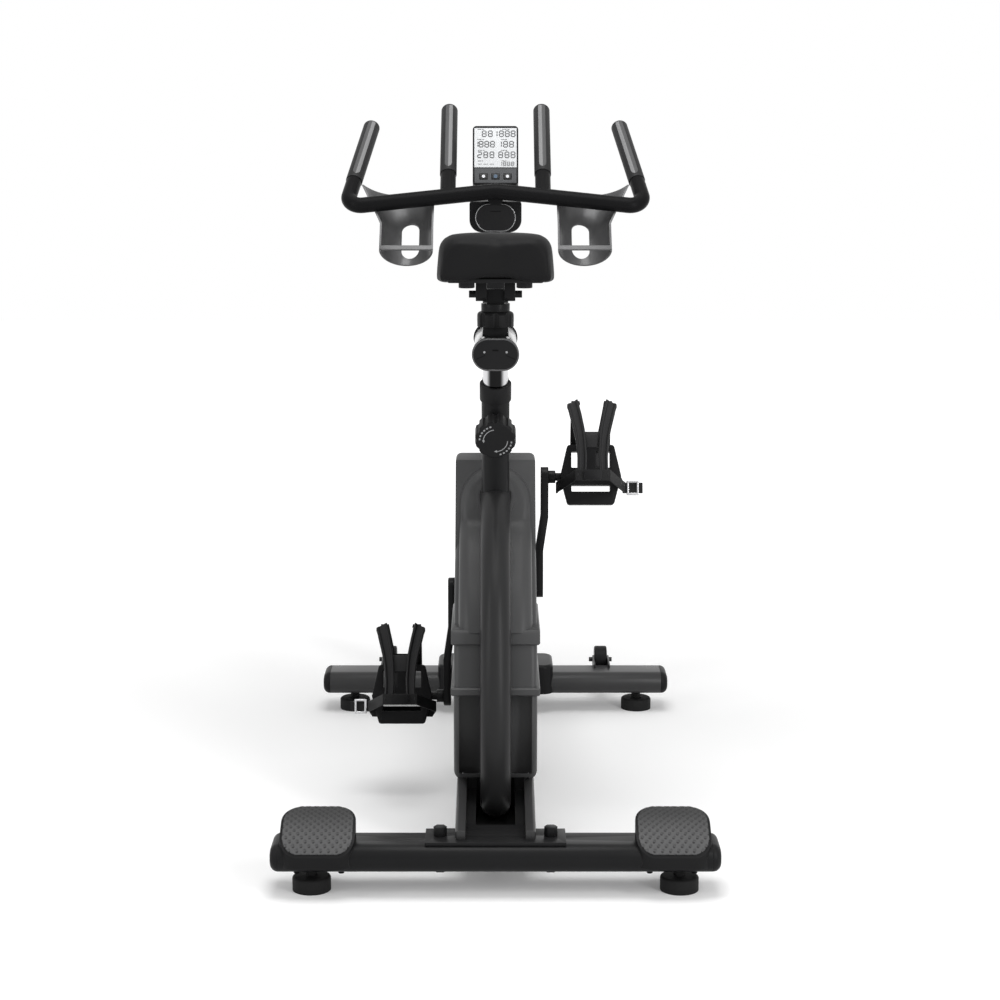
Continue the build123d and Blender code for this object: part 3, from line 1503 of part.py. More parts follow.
def console_frame():
    """The console's own frame: x across, y up the face, z out of the face."""
    lean = radians(console_lean)
    return Plane(origin=(0, console_y, console_z), x_dir=(1, 0, 0), z_dir=(0, -cos(lean), sin(lean)))


def console_body():
    """The console case with its screen recess, button pockets and bracket to the bar."""
    case = extrude(RectangleRounded(console_width, console_height, console_corner), -console_thick)
    case -= Pos(0, screen_up, -screen_deep / 2) * Box(screen_width, screen_height, screen_deep)
    for column in (-1, 0, 1):
        wide = button_width + 2 * clear_gap
        high = button_height + 2 * clear_gap
        pocket = Box(wide, high, button_deep, align=(Align.CENTER, Align.CENTER, Align.MAX))
        case -= Pos(column * button_pitch, -button_drop, 0) * pocket
    case = console_frame() * case
    low_y = console_y - sin(radians(console_lean)) * console_height / 2
    low_z = console_z - cos(radians(console_lean)) * console_height / 2
    rest_z = housing_high_z + bracket_clear
    side_view = [
        (bar_y, bar_mid_z - bracket_bar_drop), (bar_y + bracket_lap, rest_z), (low_y + bracket_foot, rest_z),
        (low_y + bracket_back, low_z), (low_y + bracket_face, low_z + bracket_step),
    ]
    bracket = slab(side_view, -bracket_half, bracket_half)
    return (case + bracket) - handlebar()


def console_screen():
    wide = screen_width - clear_gap
    high = screen_height - clear_gap
    pane = Box(wide, high, screen_deep, align=(Align.CENTER, Align.CENTER, Align.MAX))
    return console_frame() * Pos(0, screen_up, 0) * pane


def console_button(column):
    """One push button, with room to travel in its pocket."""
    deep = button_deep - button_travel - clear_gap + button_proud
    key = Box(button_width, button_height, deep, align=(Align.CENTER, Align.CENTER, Align.MAX))
    key = chamfer(key.faces().sort_by(Axis.Z)[-1].edges(), button_bevel)
    return console_frame() * Pos(column * button_pitch, -button_drop, button_proud) * key


# Transport wheels on the front tube
wheel_radius = 24.0
wheel_width = 22.0
wheel_inset = 113.0
wheel_x = overall_width / 2 - wheel_inset
wheel_ahead = 63.0
wheel_y = front_y + wheel_ahead
wheel_above = 20.0
wheel_z = stabilizer_z + wheel_above
wheel_edge = 3.0
wheel_axle_radius = 4.0
wheel_ear_thick = 3.0
ear_root = 5.0
ear_rise = 6.0
ear_nose = 9.0
ear_chin = 7.0
ear_throat = 15.0
axle_tail = 6.0


def wheel_bracket():
    """Two ears on the front tube, with the wheel's axle bolt between them."""
    tube_top = stabilizer_z + stabilizer_height / 2
    outline = [
        (front_y + ear_root, stabilizer_z), (front_y + ear_root, tube_top + ear_rise),
        (wheel_y - ear_rise, wheel_z + ear_nose), (wheel_y + ear_nose, wheel_z + wheel_axle_radius),
        (wheel_y + ear_nose, wheel_z - ear_chin), (wheel_y - ear_throat, stabilizer_z + wheel_axle_radius),
    ]
    gap = wheel_width / 2 + clear_gap
    ears = slab(outline, wheel_x - gap - wheel_ear_thick, wheel_x - gap)
    ears += slab(outline, wheel_x + gap, wheel_x + gap + wheel_ear_thick)
    ears -= cross_oval(stabilizer_depth, stabilizer_height, front_y, stabilizer_z, 0, overall_width)
    reach = gap + wheel_ear_thick + axle_tail
    return ears + rod((wheel_x - reach, wheel_y, wheel_z), (1, 0, 0), wheel_axle_radius, 2 * reach)


def front_stabilizer():
    bracket = wheel_bracket()
    return group([stabilizer(front_y), bracket, mirrored(bracket)])


def transport_wheel(side):
    low_x = side * wheel_x - wheel_width / 2
    wheel = rod((low_x, wheel_y, wheel_z), (1, 0, 0), wheel_radius, wheel_width)
    wheel = fillet(wheel.edges().filter_by(GeomType.CIRCLE), wheel_edge)
    return wheel - rod((low_x, wheel_y, wheel_z), (1, 0, 0), wheel_axle_radius + running_gap, wheel_width)


def save(name, shape):
    """Write one piece as its own file."""
    export_step(shape, os.path.join("parts", name + ".step"))


os.makedirs("parts", exist_ok=True)

# Base and frame
save("rear_stabilizer", rear_stabilizer())
save("front_stabilizer", front_stabilizer())
save("stabilizer_end_caps", stabilizer_end_caps())
save("stretch_pads", pair(stretch_pad()))
save("base_bolts", base_bolts())
save("rear_base", rear_base())
save("base_beam", base_beam())
save("arc_tube", arc_tube())
save("seat_tube", seat_tube())
save("post_bushes", post_bushes())
save("main_beam", main_beam())
save("front_mast", front_mast())
right_half = shroud_half()
save("left_shroud", mirrored(right_half))
save("right_shroud", right_half)

# Drive
save("drive_bearings", drive_bearings())
save("drive_belt", drive_belt())
save("crank_axle", crank_axle())
save("crank_pulley", crank_pulley())
save("flywheel", flywheel())
save("flywheel_shaft", flywheel_shaft())
save("brake_arm", brake_arm())
save("resistance_knob", resistance_knob())
save("pedal_spindles", pedal_spindles())
for name, side, up in (("left", -1, -1), ("right", 1, 1)):
    save(name + "_crank", crank(side, up))
    save(name + "_pedal", pedal(side, up))
    save(name + "_toe_cage", toe_cage(side, up))
    save(name + "_toe_strap", toe_strap(side, up))

# Seat
save("seat_post", seat_post())
save("seat_slider_tube", seat_slider_tube())
save("seat_slider_caps", seat_slider_caps())
save("saddle_stem", saddle_stem())
save("saddle_knob", saddle_knob())
save("seat_knob", seat_knob())
save("saddle_clamp", saddle_clamp())
save("saddle_base", saddle_base())
save("saddle_pad", saddle_pad())

# Handlebar
save("handlebar_post", handlebar_post())
save("mast_knob", mast_knob())
save("slider_housing", slider_housing())
save("slider_knob", slider_knob())
save("handlebar_slider", handlebar_slider())
save("handlebar", handlebar())
save("hand_grips", hand_grips())
save("bottle_holders", bottle_holders())
save("console_body", console_body())
save("console_screen", console_screen())
for name, column in (("left_button", -1), ("middle_button", 0), ("right_button", 1)):
    save(name, console_button(column))

# Wheels and feet
for name, side in (("left", -1), ("right", 1)):
    save(name + "_wheel", transport_wheel(side))
    save("rear_" + name + "_foot", levelling_foot(side, rear_y))
    save("front_" + name + "_foot", levelling_foot(side, front_y))
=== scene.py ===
# %% [markdown]
# # An indoor exercise bike, dressed for its picture
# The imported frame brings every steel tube, shaft, wheel and cover at its real size and place.
# This lesson adds what the eye looks for: rounded edges, paint, moulded plastic, a padded saddle, dimpled
# treads, printed marks and studio light. Every length is in metres, and +Y is the way the rider faces.

import json
from functools import partial
from math import cos, degrees, hypot, pi, radians, sin, tan

import bmesh
import bpy
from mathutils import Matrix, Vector


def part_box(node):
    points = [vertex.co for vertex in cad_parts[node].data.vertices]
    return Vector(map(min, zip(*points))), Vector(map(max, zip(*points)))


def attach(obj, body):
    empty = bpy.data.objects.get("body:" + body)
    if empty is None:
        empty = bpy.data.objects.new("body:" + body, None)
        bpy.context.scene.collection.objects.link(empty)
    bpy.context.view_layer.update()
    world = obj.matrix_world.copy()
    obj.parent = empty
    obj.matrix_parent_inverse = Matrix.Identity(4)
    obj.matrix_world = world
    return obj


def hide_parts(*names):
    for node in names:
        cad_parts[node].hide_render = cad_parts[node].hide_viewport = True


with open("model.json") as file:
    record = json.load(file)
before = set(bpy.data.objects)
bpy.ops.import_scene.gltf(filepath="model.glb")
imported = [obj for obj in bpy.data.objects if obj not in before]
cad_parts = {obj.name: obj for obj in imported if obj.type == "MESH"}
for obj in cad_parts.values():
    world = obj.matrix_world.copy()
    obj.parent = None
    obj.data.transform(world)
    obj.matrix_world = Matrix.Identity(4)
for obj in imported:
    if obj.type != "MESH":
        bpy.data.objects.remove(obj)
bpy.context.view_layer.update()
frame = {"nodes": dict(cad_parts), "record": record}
nodes = frame["nodes"]
body_of_node = {}
for body_name, members in frame["record"]["behaviour"]["bodies"].items():
    for member in members:
        body_of_node[member] = body_name
slot_of_node = {row["node"]: row["material_slot"] for row in frame["record"]["subparts"]}
MM = 0.001
RIGHT = Vector((1.0, 0.0, 0.0))
UP = Vector((0.0, 0.0, 1.0))
print("nodes in the frame:", len(nodes))

# %% [markdown]
# ## The camera
# The picture was taken from straight behind the bike, a little above the saddle and with a long lens.
# A long lens keeps the far stabilizer almost as large as the near one, so the focal length comes first
# and the distance follows from it. The small sideways shift only centres the bike as in the picture.

# %% Camera
camera_pitch = 80.16
camera_data = bpy.data.cameras.new("studio_camera")
camera_data.lens = 78.1
camera_data.sensor_width = 36.0
camera_data.shift_x = 0.0045
camera = bpy.data.objects.new("studio_camera", camera_data)
camera.location = (0.0, -3.265, 1.014)
camera.rotation_euler = (radians(camera_pitch), 0.0, 0.0)
bpy.context.scene.collection.objects.link(camera)
bpy.context.scene.camera = camera
bpy.context.scene.view_settings.view_transform = "Standard"
print("camera looks down by", round(90.0 - camera_pitch, 2), "degrees")

# %% [markdown]
# ## Node helpers
# Materials and Geometry Nodes are both built from small boxes joined by wires. Five helpers keep the
# later cells short: one adds a box, one joins two sockets, one fills a box's inputs, one adds a sum and
# one makes a group with named sockets.

# %% Node helpers
SOCKET_KINDS = {"value": "NodeSocketFloat", "colour": "NodeSocketColor", "vector": "NodeSocketVector"}


def add_node(tree, kind, **settings):
    """A new box with its settings."""
    node = tree.nodes.new(kind)
    for name, value in settings.items():
        setattr(node, name, value)
    return node


def join(tree, source, target):
    """A wire from one socket to another."""
    tree.links.new(source, target)


def feed(node, **values):
    """Fill a box's inputs, each from a value or a socket; an underscore in a name stands for a space."""
    for name, value in values.items():
        socket = node.inputs[name.replace("_", " ")]
        if isinstance(value, bpy.types.NodeSocket):
            join(node.id_data, value, socket)
        else:
            socket.default_value = value


def math_node(tree, operation, first, second=0.5):
    """A Math box: each input is a number or a socket."""
    node = add_node(tree, "ShaderNodeMath", operation=operation)
    for index, value in enumerate((first, second)):
        if isinstance(value, (int, float)):
            node.inputs[index].default_value = value
        else:
            join(tree, value, node.inputs[index])
    return node.outputs[0]


def effect_group(name, inputs, outputs):
    """An empty shader group with its in and out boxes."""
    group = bpy.data.node_groups.new(name, "ShaderNodeTree")
    for label, kind, default in inputs:
        socket = group.interface.new_socket(label, in_out="INPUT", socket_type=SOCKET_KINDS[kind])
        if default is not None:
            socket.default_value = default
    for label, kind in outputs:
        group.interface.new_socket(label, in_out="OUTPUT", socket_type=SOCKET_KINDS[kind])
    entry = add_node(group, "NodeGroupInput")
    leave = add_node(group, "NodeGroupOutput")
    return group, entry.outputs, leave.inputs


# %% [markdown]
# ## Effects that several finishes share
# Paint, plastic and rubber differ in colour, but they age alike: corners rub paler, dust lies on what
# faces up, and a mould or a spray gun leaves a fine grain. Each effect is one group, built once, that
# puts out a mask or a height, and every material sets its own size and strength.

# %% Grain group
grain_group, entry, leave = effect_group(
    "fine_grain",
    [("Place", "vector", None), ("Scale", "value", 600.0), ("Patch Scale", "value", 9.0)],
    [("Height", "value"), ("Tone", "value")],
)
fine_noise = add_node(grain_group, "ShaderNodeTexNoise")
feed(fine_noise, Detail=3.0, Vector=entry["Place"], Scale=entry["Scale"])
patch_noise = add_node(grain_group, "ShaderNodeTexNoise")
feed(patch_noise, Detail=4.0, Vector=entry["Place"], Scale=entry["Patch Scale"])
join(grain_group, fine_noise.outputs[0], leave["Height"])
join(grain_group, patch_noise.outputs[0], leave["Tone"])

# %% Edge wear group
wear_group, entry, leave = effect_group(
    "edge_wear",
    [("Place", "vector", None), ("Radius", "value", 0.0015), ("Amount", "value", 0.5)],
    [("Mask", "value")],
)
rounded_normal = add_node(wear_group, "ShaderNodeBevel", samples=4)
feed(rounded_normal, Radius=entry["Radius"])
true_normal = add_node(wear_group, "ShaderNodeNewGeometry")
facing = add_node(wear_group, "ShaderNodeVectorMath", operation="DOT_PRODUCT")
join(wear_group, rounded_normal.outputs["Normal"], facing.inputs[0])
join(wear_group, true_normal.outputs["Normal"], facing.inputs[1])
corner = add_node(wear_group, "ShaderNodeMapRange")
feed(corner, From_Min=0.99, From_Max=0.80, Value=facing.outputs["Value"])
rub_noise = add_node(wear_group, "ShaderNodeTexNoise")
feed(rub_noise, Scale=90.0, Vector=entry["Place"])
rubbed = math_node(wear_group, "MULTIPLY", corner.outputs[0], rub_noise.outputs[0])
join(wear_group, math_node(wear_group, "MULTIPLY", rubbed, entry["Amount"]), leave["Mask"])

# %% Dust group
dust_group, entry, leave = effect_group(
    "settled_dust",
    [("Place", "vector", None), ("Amount", "value", 0.2)],
    [("Mask", "value")],
)
surface = add_node(dust_group, "ShaderNodeNewGeometry")
direction = add_node(dust_group, "ShaderNodeSeparateXYZ")
join(dust_group, surface.outputs["Normal"], direction.inputs[0])
upward = add_node(dust_group, "ShaderNodeMapRange")
feed(upward, From_Min=0.35, Value=direction.outputs["Z"])
drift = add_node(dust_group, "ShaderNodeTexNoise")
feed(drift, Scale=24.0, Detail=6.0, Vector=entry["Place"])
lying = math_node(dust_group, "MULTIPLY", upward.outputs[0], drift.outputs[0])
join(dust_group, math_node(dust_group, "MULTIPLY", lying, entry["Amount"]), leave["Mask"])
print("effect groups:", [group.name for group in bpy.data.node_groups])

# %% [markdown]
# ## Paint, plastic, rubber and metal
# Nearly everything on this bike is black, so the finishes are told apart by how they shine. One function
# wires the shared effects to a Principled shader: the grain makes the bump, slow patches shift the
# roughness, and the wear and dust masks mix two paler colours over the base colour.

# %% Finish function
def blend_colour(tree, mask, under, over):
    """Mix a plain colour over another colour or socket where a mask is high."""
    mix = add_node(tree, "ShaderNodeMix", data_type="RGBA")
    lower = (*under, 1.0) if isinstance(under, tuple) else under
    feed(mix, Factor=mask, A=lower, B=(*over, 1.0))
    return mix.outputs["Result"]


def place_group(tree, group, place, **values):
    """A shared effect, placed in a material."""
    node = add_node(tree, "ShaderNodeGroup", node_tree=group)
    feed(node, Place=place, **values)
    return node.outputs


def start_material(name):
    """A material with its boxes, its shader and the place on the object."""
    material = bpy.data.materials.new(name)
    material.use_nodes = True
    tree = material.node_tree
    place = add_node(tree, "ShaderNodeTexCoord").outputs["Object"]
    return material, tree, tree.nodes["Principled BSDF"], place


def set_bump(tree, shader, height, strength, depth):
    """Let a height tilt the shading."""
    bump = add_node(tree, "ShaderNodeBump")
    feed(bump, Strength=strength, Distance=depth, Height=height)
    feed(shader, Normal=bump.outputs["Normal"])


def roughness_from(tree, shader, tone, low, high):
    """Let slow patches shift the roughness."""
    spread = add_node(tree, "ShaderNodeMapRange")
    feed(spread, From_Min=0.3, From_Max=0.7, To_Min=low, To_Max=high, Value=tone)
    feed(shader, Roughness=spread.outputs[0])


def finish(name, colour, rough, grain=600.0, bump=0.1, wear=0.4, worn=(0.10, 0.10, 0.10), dust=0.1,
           metallic=0.0, coat=0.0, specular=0.5):
    """A material with grain, worn corners and dust."""
    material, tree, shader, place = start_material(name)
    feed(shader, Metallic=metallic, Coat_Weight=coat, Coat_Roughness=0.25, Specular_IOR_Level=specular)
    grained = place_group(tree, grain_group, place, Scale=grain)
    rubbed = place_group(tree, wear_group, place, Amount=wear)
    dusty = place_group(tree, dust_group, place, Amount=dust)
    patchy = blend_colour(tree, grained["Tone"], colour, tuple(1.25 * part for part in colour))
    edged = blend_colour(tree, rubbed["Mask"], patchy, worn)
    feed(shader, Base_Color=blend_colour(tree, dusty["Mask"], edged, (0.20, 0.195, 0.19)))
    roughness_from(tree, shader, grained["Tone"], rough - 0.05, rough + 0.06)
    set_bump(tree, shader, grained["Height"], bump, 0.0004)
    return material


# %% Finishes by slot
def paint(name, colour, rough, dust, specular, metallic=0.0):
    """Sprayed paint: every coat has the same grain and the same wear."""
    return finish(
        name, colour, rough, grain=900.0, bump=0.1, wear=0.2, dust=dust, metallic=metallic,
        specular=specular,
    )


# A row gives name, colour and roughness, then grain, bump, wear, dust and specular.
moulded_rows = [
    ("shroud_plastic", (0.040, 0.0403, 0.041), 0.40, 1400.0, 0.18, 0.2, 0.06, 0.22),
    ("black_plastic", (0.009, 0.009, 0.0094), 0.42, 1600.0, 0.22, 0.25, 0.03, 0.07),
    ("rubber_black", (0.011, 0.011, 0.0112), 0.66, 700.0, 0.35, 0.2, 0.05, 0.12),
    ("grip_rubber", (0.013, 0.013, 0.0134), 0.52, 1100.0, 0.40, 0.15, 0.04, 0.16),
    ("button_plastic", (0.020, 0.0205, 0.021), 0.42, 1500.0, 0.15, 0.2, 0.1, 0.25),
]
finishes = {"frame_paint": paint("frame_paint", (0.0085, 0.0086, 0.009), 0.33, dust=0.04, specular=0.08)}
for name, colour, rough, grain, bump, wear, dust, specular in moulded_rows:
    finishes[name] = finish(
        name, colour, rough, grain=grain, bump=bump, wear=wear, dust=dust, specular=specular
    )


def brushed_metal(name, colour, rough, scale, wear=0.3, painted_reflection_side=None):
    """Metal with fine polishing lines, and a painted reflection: a dark band in the colour on the side that
    faces a given way.
    """
    material, tree, shader, place = start_material(name)
    feed(shader, Metallic=1.0)
    stretch = add_node(tree, "ShaderNodeMapping")
    feed(stretch, Scale=scale, Vector=place)
    lines = place_group(tree, grain_group, stretch.outputs[0], Scale=140.0, Patch_Scale=12.0)
    rubbed = place_group(tree, wear_group, place, Amount=wear)
    toned = blend_colour(tree, lines["Height"], colour, tuple(0.86 * part for part in colour))
    pale = tuple(min(1.0, 1.2 * part) for part in colour)
    shown_colour = blend_colour(tree, rubbed["Mask"], toned, pale)
    # The dark band is painted reflection: the base colour turns dark where the surface faces the given way.
    if painted_reflection_side:
        side = add_node(tree, "ShaderNodeVectorMath", operation="DOT_PRODUCT")
        join(tree, add_node(tree, "ShaderNodeNewGeometry").outputs["Normal"], side.inputs[0])
        side.inputs[1].default_value = painted_reflection_side
        painted_reflection_mask = add_node(tree, "ShaderNodeMapRange", interpolation_type="SMOOTHSTEP")
        feed(painted_reflection_mask, From_Min=0.70, From_Max=0.93, Value=side.outputs["Value"])
        reflection_dark_tone = tuple(0.02 * part for part in colour)
        shown_colour = blend_colour(tree, painted_reflection_mask.outputs[0], shown_colour, reflection_dark_tone)
    feed(shader, Base_Color=shown_colour)
    roughness_from(tree, shader, lines["Tone"], rough - 0.03, rough + 0.05)
    set_bump(tree, shader, lines["Height"], 0.06, 0.0002)
    return material


chrome_tone = (0.60, 0.60, 0.61)
chrome_rough = 0.12
lengthwise, upright = (1.0, 0.15, 1.0), (1.0, 1.0, 0.2)
facing_up, facing_rear = (0.0, 0.0, 1.0), (0.0, -0.946, -0.326)
# The chrome has its painted dark reflection on the side facing up, the seat post's chrome on the side
# facing the rear.
finishes["chrome"] = brushed_metal("chrome", chrome_tone, chrome_rough, lengthwise, painted_reflection_side=facing_up)
post_chrome = brushed_metal("post_chrome", chrome_tone, chrome_rough, upright, painted_reflection_side=facing_rear)
finishes["steel"] = brushed_metal("steel", (0.10, 0.10, 0.102), 0.34, (0.2, 1.0, 1.0))
finishes["flywheel_alloy"] = brushed_metal("flywheel_alloy", (0.56, 0.57, 0.58), 0.24, (6.0, 0.4, 0.4))
print("finishes:", sorted(finishes))

# %% [markdown]
# ## Studio light
# A white sweep surrounds the bike: the camera, mirrors and glass see plain white, while the paint is lit
# by a softer sky, one wide lamp overhead and two tall side lamps that draw a light edge down each tube.

# %% World and lamps
world = bpy.data.worlds.new("studio")
bpy.context.scene.world = world
world.use_nodes = True
sky = world.node_tree
sky.nodes.clear()
seen = add_node(sky, "ShaderNodeLightPath")
straight = math_node(sky, "MAXIMUM", seen.outputs["Is Camera Ray"], seen.outputs["Is Transmission Ray"])
shown = math_node(sky, "MAXIMUM", straight, seen.outputs["Is Glossy Ray"])
ambient = add_node(sky, "ShaderNodeBackground")
feed(ambient, Color=(1.0, 1.0, 1.0, 1.0), Strength=0.50)
white = add_node(sky, "ShaderNodeBackground")
feed(white, Color=(1.0, 1.0, 1.0, 1.0), Strength=1.0)
choose = add_node(sky, "ShaderNodeMixShader")
feed(choose, Fac=shown)
join(sky, ambient.outputs[0], choose.inputs[1])
join(sky, white.outputs[0], choose.inputs[2])
join(sky, choose.outputs[0], add_node(sky, "ShaderNodeOutputWorld").inputs["Surface"])


def soft_lamp(name, place, aim, size, power):
    """A wide lamp at a place, turned to what it lights."""
    lamp_data = bpy.data.lights.new(name, "AREA")
    lamp_data.shape = "RECTANGLE"
    lamp_data.size = size[0]
    lamp_data.size_y = size[1]
    lamp_data.energy = power
    lamp = bpy.data.objects.new(name, lamp_data)
    lamp.location = place
    lamp.rotation_euler = (Vector(aim) - Vector(place)).to_track_quat("-Z", "Y").to_euler()
    bpy.context.scene.collection.objects.link(lamp)


soft_lamp("overhead_lamp", (0.0, -0.4, 2.7), (0.0, -0.1, 0.0), (1.2, 1.5), 34.0)
soft_lamp("left_lamp", (-2.2, -1.6, 1.5), (0.0, 0.0, 0.5), (0.5, 2.0), 16.0)
soft_lamp("right_lamp", (1.5, -2.0, 1.3), (0.0, -0.1, 0.5), (0.3, 2.0), 30.0)

# %% [markdown]
# ## The floor
# The floor is a large white sheet. Near the bike it is lit by the lamps, so that the soft shadow stays
# on it. Further out the lamps fade, and a glow that grows with the distance keeps the sheet as white as
# the backdrop.

# %% Floor
floor_mesh = bpy.data.meshes.new("floor")
reach = 8.0
corners = [(-reach, -reach, 0.0), (reach, -reach, 0.0), (reach, reach, 0.0), (-reach, reach, 0.0)]
floor_mesh.from_pydata(corners, [], [(0, 1, 2, 3)])
floor = bpy.data.objects.new("floor", floor_mesh)
bpy.context.scene.collection.objects.link(floor)
floor_paper, tree, shader, place = start_material("floor_paper")
feed(
    shader, Base_Color=(0.90, 0.90, 0.90, 1.0), Roughness=0.9, Specular_IOR_Level=0.1,
    Emission_Color=(1.0, 1.0, 1.0, 1.0),
)
away = add_node(tree, "ShaderNodeVectorMath", operation="LENGTH")
join(tree, place, away.inputs[0])
glow = add_node(tree, "ShaderNodeMapRange", interpolation_type="SMOOTHSTEP")
feed(glow, From_Min=0.35, From_Max=2.6, To_Min=0.10, To_Max=0.75, Value=away.outputs["Value"])
feed(shader, Emission_Strength=glow.outputs[0])
floor_mesh.materials.append(floor_paper)
print("floor reaches", reach, "m each way")

# %% [markdown]
# ## Soft edges on the hard pieces
# A drawn solid has razor edges, and real paint and plastic never do: a small rounding catches the light
# and shows where one piece ends. Each frame node is copied, its loose triangles are merged into whole
# faces, and a Bevel modifier rounds every corner sharper than the limit. The copy then stands for the node.

# %% Edge rounding
def merged_copy(node):
    """A welded copy of a node's mesh, with its flat faces joined."""
    mesh = nodes[node].data.copy()
    work = bmesh.new()
    work.from_mesh(mesh)
    bmesh.ops.remove_doubles(work, verts=work.verts, dist=0.01 * MM)
    bmesh.ops.dissolve_limit(work, angle_limit=radians(0.8), verts=work.verts, edges=work.edges)
    work.to_mesh(mesh)
    work.free()
    mesh.materials.clear()
    return mesh


def dress(mesh, material):
    """Give a mesh one material."""
    mesh.materials.clear()
    mesh.materials.append(material)


def new_piece(name, mesh, material):
    """An object at the origin, with its place in its mesh."""
    piece = bpy.data.objects.new(name, mesh)
    bpy.context.scene.collection.objects.link(piece)
    dress(mesh, material)
    return piece


def mesh_piece(name, corners, faces, material):
    """A piece from its corners and faces."""
    mesh = bpy.data.meshes.new(name)
    mesh.from_pydata(corners, [], faces)
    return new_piece(name, mesh, material)


def face_outward(mesh):
    """Turn every face of a closed mesh outward."""
    work = bmesh.new()
    work.from_mesh(mesh)
    bmesh.ops.recalc_face_normals(work, faces=work.faces)
    work.to_mesh(mesh)
    work.free()


def settle(piece):
    """Turn the live modifiers into plain mesh."""
    bpy.context.view_layer.update()
    graph = bpy.context.evaluated_depsgraph_get()
    mesh = bpy.data.meshes.new_from_object(piece.evaluated_get(graph))
    piece.modifiers.clear()
    piece.data = mesh
    return piece


def smooth(piece, angle=35.0):
    """Shade softly, apart from sharp corners."""
    piece.data.shade_smooth()
    piece.data.set_sharp_from_angle(angle=radians(angle))
    return piece


def round_edges(piece, width, segments=3, limit=32.0):
    """Round every corner sharper than the limit; the width is in millimetres."""
    bevel = piece.modifiers.new("rounding", "BEVEL")
    bevel.width = width * MM
    bevel.segments = segments
    bevel.limit_method = "ANGLE"
    bevel.angle_limit = radians(limit)
    bevel.use_clamp_overlap = True
    return smooth(settle(piece))


def ride_with(piece, node):
    """Ride with the body of a node."""
    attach(piece, body_of_node[node])
    return piece


def stand_for(piece, *replaced):
    """Ride with the body of the first node and hide the nodes."""
    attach(piece, body_of_node[replaced[0]])
    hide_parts(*replaced)
    return piece


def soften(node, width, material=None):
    """A rounded copy that stands for a node."""
    piece = new_piece("finished_" + node, merged_copy(node), material or finishes[slot_of_node[node]])
    return stand_for(round_edges(piece, width), node)


# %% Rounded pieces
edge_widths = {
    "rear_stabilizer": 0.6, "front_stabilizer": 0.8, "stabilizer_end_caps": 0.8, "rear_base": 1.6,
    "base_beam": 2.0, "base_bolts": 0.7, "seat_tube": 0.8, "post_bushes": 1.0, "main_beam": 0.8,
    "front_mast": 0.8, "left_shroud": 1.6, "right_shroud": 1.6, "left_crank": 2.2, "right_crank": 2.2,
    "pedal_spindles": 0.8, "left_pedal": 1.4, "right_pedal": 1.4, "left_toe_cage": 1.3,
    "right_toe_cage": 1.3, "left_toe_strap": 0.6, "right_toe_strap": 0.6, "resistance_knob": 0.9,
    "seat_knob": 0.9, "mast_knob": 0.9, "slider_knob": 0.9, "saddle_knob": 0.9, "seat_slider_caps": 0.7,
    "saddle_stem": 0.9, "saddle_clamp": 1.2, "saddle_base": 1.2, "slider_housing": 1.4,
    "handlebar_slider": 0.7, "bottle_holders": 0.8, "console_body": 1.2, "left_button": 0.5,
    "middle_button": 0.5, "right_button": 0.5, "left_wheel": 0.8, "right_wheel": 0.8,
    "rear_left_foot": 0.9, "rear_right_foot": 0.9, "front_left_foot": 0.9, "front_right_foot": 0.9,
    "handlebar": 0.8, "hand_grips": 0.8, "stretch_pads": 2.0, "arc_tube": 0.6, "seat_slider_tube": 0.6,
}
holder_paint = paint("holder_paint", (0.065, 0.065, 0.066), 0.34, dust=0.02, specular=0.25, metallic=0.35)
satin_paint = paint("satin_paint", (0.015, 0.015, 0.0154), 0.36, dust=0.03, specular=0.14)
bar_paint = paint("bar_paint", (0.0055, 0.0055, 0.0058), 0.33, dust=0.02, specular=0.04)
# A paler copy of the frame paint: painted highlight on the front stabilizer and on the rear base's columns.
highlight_tube_paint = paint("highlight_tube_paint", (0.026, 0.026, 0.0265), 0.30, dust=0.03, specular=0.2)
own_finish = {
    "arc_tube": satin_paint, "handlebar": bar_paint, "front_stabilizer": highlight_tube_paint,
    "saddle_stem": finishes["frame_paint"], "pedal_spindles": finishes["frame_paint"],
    "bottle_holders": holder_paint,
}
pieces = {}
for node, width in edge_widths.items():
    pieces[node] = soften(node, width, own_finish.get(node))
print("rounded pieces:", len(pieces))

# %% [markdown]
# ## Small changes to single pieces
# The bottle holders dip where they pass under the bar and carry painted shade on the top of their rings,
# the bolts of the rear plate have tall heads, the columns of the rear base take a paler paint as a painted
# highlight, and the slider tube ends in black caps. Such forms are too small to need a new solid: a copy's
# corners can be moved by their place, and chosen faces can take a second material.

# %% Second finishes and shares
def second_finish(piece, material, chosen):
    """Give a second material to the faces that a test picks."""
    piece.data.materials.append(material)
    picked = [face for face in piece.data.polygons if chosen(face)]
    for face in picked:
        face.material_index = 1
    print(piece.name, "faces in", material.name, len(picked))


def clamped(share):
    """A share kept between none and all."""
    return max(0.0, min(1.0, share))


# %% Holder rims
# The ring that joins the two sides of a holder gets dark frame paint on its top faces: painted shade.
holders = pieces["bottle_holders"]
holder_rim = 905.0 * MM
holder_middle = 141.0 * MM
dip_width = 30.0 * MM
dip_share = 0.9
ring_below = 40.0 * MM
shaded_top_normal = 0.97
for vertex in holders.data.vertices:
    inner = clamped((holder_middle - abs(vertex.co.x)) / dip_width)
    if vertex.co.z > holder_rim:
        vertex.co.z -= dip_share * inner * (vertex.co.z - holder_rim)
second_finish(
    holders, finishes["frame_paint"],
    lambda face: face.normal.z > shaded_top_normal and face.center.z < holder_rim - ring_below,
)

# %% Tall bolt heads
head_depth = 3.0 * MM
head_rise = 6.0 * MM
bolt_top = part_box("base_bolts")[1].z
for vertex in pieces["base_bolts"].data.vertices:
    if vertex.co.z > bolt_top - head_depth:
        vertex.co.z += head_rise
print("bolt heads rise to", round((bolt_top + head_rise) / MM, 1), "mm")
